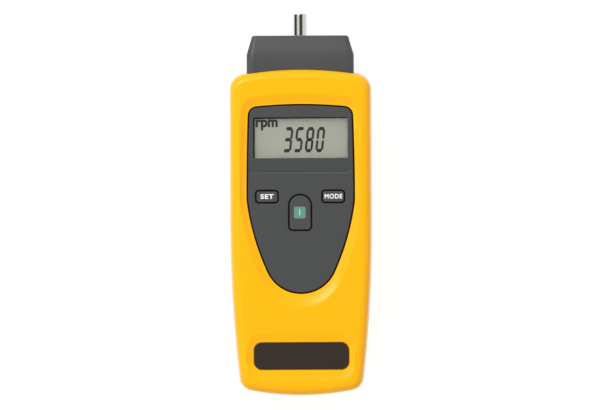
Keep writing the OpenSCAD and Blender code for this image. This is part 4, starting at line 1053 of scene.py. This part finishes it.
# Battery door
# A flat door of the same ABS that slides off towards the tail on two tongues. Hollows across
# its upper end give the thumb a grip, and a moulded arrow shows the way it opens.
def node_tree(name, **sockets):
    """A Geometry Nodes tree with named inputs, and its input node."""
    tree = bpy.data.node_groups.new(name, "GeometryNodeTree")
    tree.interface.new_socket(name="Geometry", in_out="INPUT", socket_type="NodeSocketGeometry")
    for label, kind in sockets.items():
        tree.interface.new_socket(name=label, in_out="INPUT", socket_type=kind)
    tree.interface.new_socket(name="Geometry", in_out="OUTPUT", socket_type="NodeSocketGeometry")
    return tree, add(tree, "NodeGroupInput").outputs


def end_tree(tree, source, given):
    """Makes the instances real, gives them their material and ends the tree."""
    real = add(tree, "GeometryNodeRealizeInstances", links={"Geometry": source})
    painted = add(tree, "GeometryNodeSetMaterial", links={"Geometry": real, "Material": given["material"]})
    add(tree, "NodeGroupOutput", links={"Geometry": painted})


def grown(name, tree, places, **values):
    """The plain mesh that a tree grows on some places, as an object in millimetres."""
    mesh = bpy.data.meshes.new(name)
    mesh.from_pydata(places, [], [])
    holder = bpy.data.objects.new(name, mesh)
    bpy.context.scene.collection.objects.link(holder)
    change = holder.modifiers.new("grow", "NODES")
    change.node_group = tree
    identifiers = {item.name: item.identifier for item in tree.interface.items_tree if item.in_out == "INPUT"}
    for label, value in values.items():
        change[identifiers[label]] = value
    result = bpy.data.meshes.new_from_object(holder.evaluated_get(bpy.context.evaluated_depsgraph_get()))
    discard(holder)
    made = bpy.data.objects.new(name, result)
    bpy.context.scene.collection.objects.link(made)
    return made


def take_mesh(made):
    """The mesh of an object as a bmesh; the object goes."""
    bm = bmesh.new()
    bm.from_mesh(made.data)
    discard(made)
    return bm


hollow_tree, given = node_tree("thumb hollows", count="NodeSocketInt", pitch="NodeSocketFloat",
                               radius="NodeSocketFloat", width="NodeSocketFloat",
                               material="NodeSocketMaterial")
step = add(hollow_tree, "ShaderNodeCombineXYZ", links={"Y": given["pitch"]})
line = add(hollow_tree, "GeometryNodeMeshLine", links={"Count": given["count"], "Offset": step})
rod = add(hollow_tree, "GeometryNodeMeshCylinder", {"Vertices": 24},
          {"Radius": given["radius"], "Depth": given["width"]})
laid = add(hollow_tree, "GeometryNodeTransform", {"Rotation": (0, math.pi/2, 0)}, {"Geometry": rod})
row = add(hollow_tree, "GeometryNodeInstanceOnPoints", links={"Points": line, "Instance": laid})
end_tree(hollow_tree, row, given)

door_lift = 0.3
door_top = 2
grip_n = 6
grip_w = 15
grip_pitch = 2.2
grip_depth = 0.6
grip_from_end = 6
hollows = grown("thumb_hollows", hollow_tree, [(0, 0, 0)], count=grip_n, pitch=-grip_pitch,
                radius=grip_depth, width=float(grip_w))
hollows.data.transform(Matrix.Translation((0, door_y - grip_from_end, door_lift)))
door = carve(rear_skin(0), block((-door_half, tail_y - 1, door_lift), (door_half, door_y, door_top)),
             way="INTERSECT")
tongues = block((-door_half - tongue_w, tub_y, tongue_z), (door_half + tongue_w, tub_end_y, door_top))
door = carve(door, tongues, way="UNION")
arrow_y = -50
arrow_deep = 0.35
arrow = [Vector((x, arrow_y + y)) for x, y in
         ((1.2, 7), (-1.2, 7), (-1.2, -1), (-4, -1), (0, -7), (4, -1), (1.2, -1))]
door = carve(door, take_mesh(hollows), prism(arrow, door_lift - 1, door_lift + arrow_deep))
piece(door, "door", yellow_abs, "battery_door", ["battery_door"])


# Screws
# Zinc-plated steel screws with a round head and a cross recess: four hold the shells together,
# five the circuit board and three the bearing retainer. Each is left turned as it came to rest.
zinc_steel = metal("zinc-plated steel", "#c3c7cb", 0.32, 0.4, 0.002)
screw_tree, given = node_tree("screws", head_r="NodeSocketFloat", head_h="NodeSocketFloat",
                              shank_r="NodeSocketFloat", shank_l="NodeSocketFloat",
                              recess_w="NodeSocketFloat", material="NodeSocketMaterial")
part_of = {}                # the heights and widths of a screw that are shares of a named input
for label, (size, share) in {"lip_h": ("head_h", 0.35), "lip_r": ("head_r", 0.86), "rim_h": ("head_h", 0.65),
                             "rim_z": ("head_h", 0.675), "half_shank": ("shank_l", 0.5),
                             "blade_l": ("head_r", 1.25)}.items():
    part_of[label] = add(screw_tree, "ShaderNodeMath", {1: share}, {0: given[size]}, operation="MULTIPLY")
crown = add(screw_tree, "GeometryNodeMeshCone", {"Vertices": 48},
            {"Radius Bottom": part_of["lip_r"], "Radius Top": given["head_r"], "Depth": part_of["lip_h"]})
rim = add(screw_tree, "GeometryNodeMeshCylinder", {"Vertices": 48},
          {"Radius": given["head_r"], "Depth": part_of["rim_h"]})
shank = add(screw_tree, "GeometryNodeMeshCylinder", {"Vertices": 24},
            {"Radius": given["shank_r"], "Depth": given["shank_l"]})
shank_z = add(screw_tree, "ShaderNodeMath", links={0: given["head_h"], 1: part_of["half_shank"]},
              operation="ADD")
stacked = [crown]
for solid_part, height in ((rim, part_of["rim_z"]), (shank, shank_z)):
    lift = add(screw_tree, "ShaderNodeCombineXYZ", links={"Z": height})
    stacked.append(add(screw_tree, "GeometryNodeTransform", links={"Geometry": solid_part,
                                                                   "Translation": lift}))
blank = add(screw_tree, "GeometryNodeMeshBoolean", operation="UNION", solver="EXACT",
            links={"Mesh 2": stacked})
blade = add(screw_tree, "ShaderNodeCombineXYZ", links={"X": part_of["blade_l"], "Y": given["recess_w"],
                                                       "Z": given["head_h"]})
cube = add(screw_tree, "GeometryNodeMeshCube", links={"Size": blade})
crossed = add(screw_tree, "GeometryNodeTransform", {"Rotation": (0, 0, math.pi/2)},
              {"Geometry": cube})
recessed = add(screw_tree, "GeometryNodeMeshBoolean", operation="DIFFERENCE", solver="EXACT",
               links={"Mesh 1": blank, "Mesh 2": [cube, crossed]})
# Inputs 2 and 3 are the least and the greatest angle, in radians
turn = add(screw_tree, "FunctionNodeRandomValue", {"Seed": 4, 2: 0, 3: 1.5}, data_type="FLOAT")
upright = add(screw_tree, "ShaderNodeCombineXYZ", links={"Z": turn.outputs[1]})
set_in = add(screw_tree, "GeometryNodeInstanceOnPoints",
             links={"Points": given["Geometry"], "Instance": recessed, "Rotation": upright})
end_tree(screw_tree, set_in, given)


def screws(name, places, body, replaced, head_r, head_h, shank_r, shank_l, recess_w, stand=None):
    """Screws at some places, their heads towards -Z there, then stood up by a matrix."""
    made = grown(name, screw_tree, places, head_r=head_r, head_h=head_h, shank_r=shank_r, shank_l=shank_l,
                 recess_w=recess_w, material=zinc_steel)
    if stand:
        made.data.transform(stand)
    finish_piece(made, name, zinc_steel, body, replaced)


screw_low, screw_high = box_mm("case_screws")
head_h = 1.6
shank_l = screw_high.z - screw_low.z - head_h - 0.1
screws("shell_screws", [(side*x, y, screw_low.z) for x, y in screw_places for side in (-1, 1)],
       "housing", ["case_screws"], head_r=screw_head_r, head_h=head_h, shank_r=1.5,
       shank_l=shank_l, recess_w=0.7)


# Tripod bush
# A brass bush with a quarter-inch thread, moulded into the rear shell. A groove round its
# outside keeps it in the plastic.
brass = metal("turned brass", "#c9a24b", 0.25, 0.5, 0.003)
bush_hole_r = 2.75
bush_hole_l = 7
bush = turned([(0, bush_hole_l), (bush_hole_r, bush_hole_l), (bush_hole_r, 0.5), (bush_hole_r + 0.5, 0),
               (bush_r - 0.15, 0), (bush_r - 0.01, 0.15), (bush_r - 0.01, bush_l/3), (bush_r - 0.4, bush_l/3),
               (bush_r - 0.4, bush_l*2/3), (bush_r - 0.01, bush_l*2/3), (bush_r - 0.01, bush_l), (0, bush_l)])
piece(bush, "camera_bush", brass, "housing", ["tripod_bush"])

coil_tree, given = node_tree("wound wires", turns="NodeSocketFloat", start_r="NodeSocketFloat",
                             end_r="NodeSocketFloat", height="NodeSocketFloat", wire_r="NodeSocketFloat",
                             wire_sides="NodeSocketInt", material="NodeSocketMaterial")
spiral = add(coil_tree, "GeometryNodeCurveSpiral", {"Resolution": 40},
             {"Rotations": given["turns"], "Start Radius": given["start_r"], "End Radius": given["end_r"],
              "Height": given["height"]})
wire = add(coil_tree, "GeometryNodeCurvePrimitiveCircle", links={"Radius": given["wire_r"],
                                                                 "Resolution": given["wire_sides"]})
wound = add(coil_tree, "GeometryNodeCurveToMesh", {"Fill Caps": True},
            {"Curve": spiral, "Profile Curve": wire})
placed = add(coil_tree, "GeometryNodeInstanceOnPoints", links={"Points": given["Geometry"],
                                                               "Instance": wound})
end_tree(coil_tree, placed, given)
thread_pitch = 1.27
thread = grown("camera_thread", coil_tree, [(0, 0, 0.7)], turns=(bush_hole_l - 1)/thread_pitch,
               start_r=bush_hole_r + 0.1, end_r=bush_hole_r + 0.1, height=float(bush_hole_l - 1),
               wire_r=0.45, wire_sides=3, material=brass)
finish_piece(thread, "camera_thread", brass, "housing", sharp=20)


# Circuit board and what it carries
# A board of glass and epoxy under green solder mask, with the switches of the keys, the
# processor, a quartz crystal and three capacitors soldered to it.
def masked_board(name, mask, copper):
    """Green solder mask, with the copper tracks under it a little lighter."""
    material, tree, shader, where = new_material(name, {"Roughness": 0.3})
    # Tracks are 0.3 mm wide and about 1.5 mm apart
    tracks = add(tree, "ShaderNodeTexBrick", {"Scale": 1/(6*MM), "Mortar Size": 0.03, "Brick Width": 1.7,
                                              "Row Height": 0.25, "Color1": linear(mask),
                                              "Color2": linear(mask), "Mortar": linear(copper)},
                 {"Vector": where})
    bump = add(tree, "ShaderNodeBump", {"Strength": 0.6, "Distance": 0.03*MM},
               {"Height": tracks.outputs["Fac"]})
    feed(shader, links={"Base Color": tracks, "Normal": bump})
    return material


green_board = masked_board("glass epoxy board, solder mask", "#2f6b3c", "#4c8a52")
black_abs = moulded("black glass-filled nylon", "#222224", 0.5, 0.4, 0.010)
black_epoxy = moulded("black moulding epoxy", "#1b1b1d", 0.4, 0.3, 0.004)
can_steel = metal("drawn steel can", "#c8cacb", 0.25, 1.2, 0.002)
blue_film = moulded("blue shrink film", "#2b3a55", 0.3, 0.5, 0.004)
for name, material, bevel in (("circuit_board", green_board, 0.1), ("tact_switches", black_abs, 0.2),
                              ("memory_plunger", white_plastic, 0.15),
                              ("function_plunger", white_plastic, 0.15),
                              ("power_plunger", white_plastic, 0.15), ("processor_chip", black_epoxy, 0.1),
                              ("quartz_crystal", can_steel, 0.2), ("capacitors", blue_film, 0.15)):
    cad_finish(name, material, bevel)
board_low = box_mm("circuit_board")[0]
board_head_h = 1.1
board_head_r = 1.5
post_x = box_mm("board_screws")[1].x - board_head_r
screws("mainboard_screws",
       [(x, y, board_low.z - board_head_h) for x, y in
        ((-14, 36.6), (14, 36.6), (-post_x, -12), (post_x, -12), (0, -32.7))],
       "housing", ["board_screws"], head_r=board_head_r, head_h=board_head_h, shank_r=0.8,
       shank_l=7.2, recess_w=0.45)


# Optics
# The head that reads a reflecting mark: a laser in a brass barrel and a receiver lens, side by
# side in a black block behind a deep red window, with a small board at their back.
red_acrylic = clear("deep red acrylic", "#a01420", 1.49, 0.03)
lens_glass = clear("crown glass, polished", "#e6f2f4", 1.52, 0.0)
for name, material, bevel in (("optics_window", red_acrylic, 0.15), ("optics_block", black_abs, 0.3),
                              ("laser_barrel", brass, 0.1), ("laser_diode", brass, 0.05),
                              ("collimating_lens", lens_glass, 0), ("receiver_lens", lens_glass, 0),
                              ("photodiode", black_epoxy, 0.1), ("sensor_board", green_board, 0.08),
                              ("board_link", black_abs, 0.08)):
    cad_finish(name, material, bevel)


# Cells
# Two cells of size AA, each a steel can in a printed film, lying head to tail in the tub. The
# film is copper-coloured towards the positive end, as on most alkaline cells.
def printed_film(name, dark, bright, turn_y, way):
    """A glossy printed film that changes colour at a place along Y."""
    material, tree, shader, where = new_material(name, {"Metallic": 0.5})
    along = add(tree, "ShaderNodeSeparateXYZ", links={0: where})
    past = add(tree, "ShaderNodeMath", {1: turn_y*MM}, {0: along.outputs["Y"]},
               operation="GREATER_THAN" if way > 0 else "LESS_THAN")
    scuffs = add(tree, "ShaderNodeTexNoise", {"Scale": 1/(3*MM), "Detail": 4}, {"Vector": where})
    polish = add(tree, "ShaderNodeMapRange", {"To Min": 0.2, "To Max": 0.4}, {"Value": scuffs})
    two_tone(tree, shader, dark, bright, past)
    feed(shader, links={"Roughness": polish})
    return material


cell_round = 0.8
can_r = cell_r - 0.08
for side, way in (("left", 1), ("right", -1)):
    low, high = box_mm("cell_" + side)
    length = high.y - low.y
    body_l = length - 1.2
    corner = Vector((can_r - cell_round, cell_round))
    far = Vector((can_r - cell_round, body_l - cell_round))
    can = [(0, 0), (4.4, 0), (4.6, 0.25), (5.2, 0.25), (5.4, 0)]
    can += [tuple(p) for p in arc(corner, cell_round, -90, 0, 6) + arc(far, cell_round, 0, 90, 6, 0)]
    can += [(4.3, body_l), (4.1, body_l - 0.25), (2.75, body_l - 0.25), (2.75, length - 0.3),
            (2.45, length), (0, length)]
    ring = [(can_r - 0.02, 0.6), (cell_r, 0.6), (cell_r, body_l - 0.6), (can_r - 0.02, body_l - 0.6),
            (can_r - 0.02, 0.6)]
    stand = along_y(turned(can, 72), low.y, (low.x + high.x)/2, (low.z + high.z)/2)
    film = along_y(turned(ring, 72), low.y, (low.x + high.x)/2, (low.z + high.z)/2)
    if way < 0:
        turn_round = (Matrix.Translation((0, low.y + high.y, 0)) @ Matrix.Diagonal((1, -1, 1, 1)))
        place(stand, turn_round)
        place(film, turn_round)
    piece(stand, "cell_can_" + side, can_steel, "housing", ["cell_" + side])
    band_y = high.y - 17 if way > 0 else low.y + 17
    print_on = printed_film("printed cell film " + side, "#23252b", "#b9744a", band_y, way)
    piece(film, "cell_film_" + side, print_on, "housing")


# Contacts
# Conical springs wound from nickel-plated wire press on the flat ends of the cells, and plates
# stamped from nickel-plated strip take the current up to the circuit board.
nickel = metal("nickel-plated spring steel", "#cfc9bd", 0.22, 0.8, 0.002)
for name in ("bridge_contact", "positive_contact", "negative_contact"):
    cad_finish(name, nickel, 0.1)
spring_wire_r = 0.35
for side in ("left", "right"):
    low, high = box_mm("spring_" + side)
    height = high.y - low.y - 2*spring_wire_r
    coil = grown("coil", coil_tree, [(0, 0, spring_wire_r)], turns=3.0, start_r=4.4, end_r=3.0,
                 height=height, wire_r=spring_wire_r, wire_sides=12, material=nickel)
    coil.data.transform(Matrix.Translation((cell_x if side == "right" else -cell_x, low.y, cell_z))
                        @ Matrix.Rotation(-math.pi/2, 4, "X"))
    if side == "right":
        coil.data.transform(Matrix.Translation((0, low.y + high.y, 0)) @ Matrix.Diagonal((1, -1, 1, 1)))
        coil.data.flip_normals()
    finish_piece(coil, "coil_" + side, nickel, "housing", ["spring_" + side], sharp=60)


# Bearings
# Two ball bearings of hardened steel with brass cages carry the shaft, held apart by two
# spacer tubes and kept in by a retainer plate with three screws.
bearing_steel = metal("ground bearing steel", "#cdd0d3", 0.15, 0.5, 0.001)
for name in ("front_outer_ring", "rear_outer_ring", "front_inner_ring", "rear_inner_ring",
             "outer_spacer", "inner_spacer"):
    cad_finish(name, bearing_steel, 0.15)
cad_finish("front_cage", brass, 0.08)
cad_finish("rear_cage", brass, 0.08)
cad_finish("bearing_retainer", zinc_steel, 0.15)
cad_finish("retaining_clip", nickel, 0.1)

ball_tree, given = node_tree("rings of balls", count="NodeSocketInt", pitch_r="NodeSocketFloat",
                             ball_r="NodeSocketFloat", material="NodeSocketMaterial")
circle = add(ball_tree, "GeometryNodeMeshCircle", links={"Vertices": given["count"],
                                                         "Radius": given["pitch_r"]})
ball = add(ball_tree, "GeometryNodeMeshUVSphere", {"Segments": 32, "Rings": 16}, {"Radius": given["ball_r"]})
ring_of_balls = add(ball_tree, "GeometryNodeInstanceOnPoints", links={"Points": circle, "Instance": ball})
both_rings = add(ball_tree, "GeometryNodeInstanceOnPoints", links={"Points": given["Geometry"],
                                                                   "Instance": ring_of_balls})
end_tree(ball_tree, both_rings, given)
balls = grown("balls", ball_tree, [(0, 0, 2.5), (0, 0, 2.5 + front_bearing_y - rear_bearing_y)], count=8,
              pitch_r=(journal_r + bearing_r)/2, ball_r=1.5, material=bearing_steel)
upright = Matrix.Translation((0, rear_bearing_y, axle_z)) @ Matrix.Rotation(-math.pi/2, 4, "X")
balls.data.transform(upright)
finish_piece(balls, "bearing_balls", bearing_steel, "ball_sets", ["front_balls", "rear_balls"],
             sharp=80)
retainer_y = rear_bearing_y - 1.4
retainer_head_h = 0.9
stand = Matrix.Translation((0, retainer_y - retainer_head_h, axle_z)) @ Matrix.Rotation(-math.pi/2, 4, "X")
turns = [2*math.pi/3*i for i in range(3)]
circle_r = 9.8              # circle on which the retainer's screws stand
screws("retaining_screws", [(circle_r*math.cos(a), -circle_r*math.sin(a), 0) for a in turns],
       "adapter",
       ["retainer_screws"], head_r=1.5, head_h=retainer_head_h, shank_r=0.9, shank_l=6.2, recess_w=0.45,
       stand=stand)


# Reflector disc
# A black disc on the inner end of the shaft, with four white marks that the optics count.
white_film = moulded("white retro-reflecting film", "#e6e6e6", 0.5, 0.3, 0.01)
cad_finish("reflector_disc", black_abs, 0.15)
cad_finish("reflector_marks", white_film)
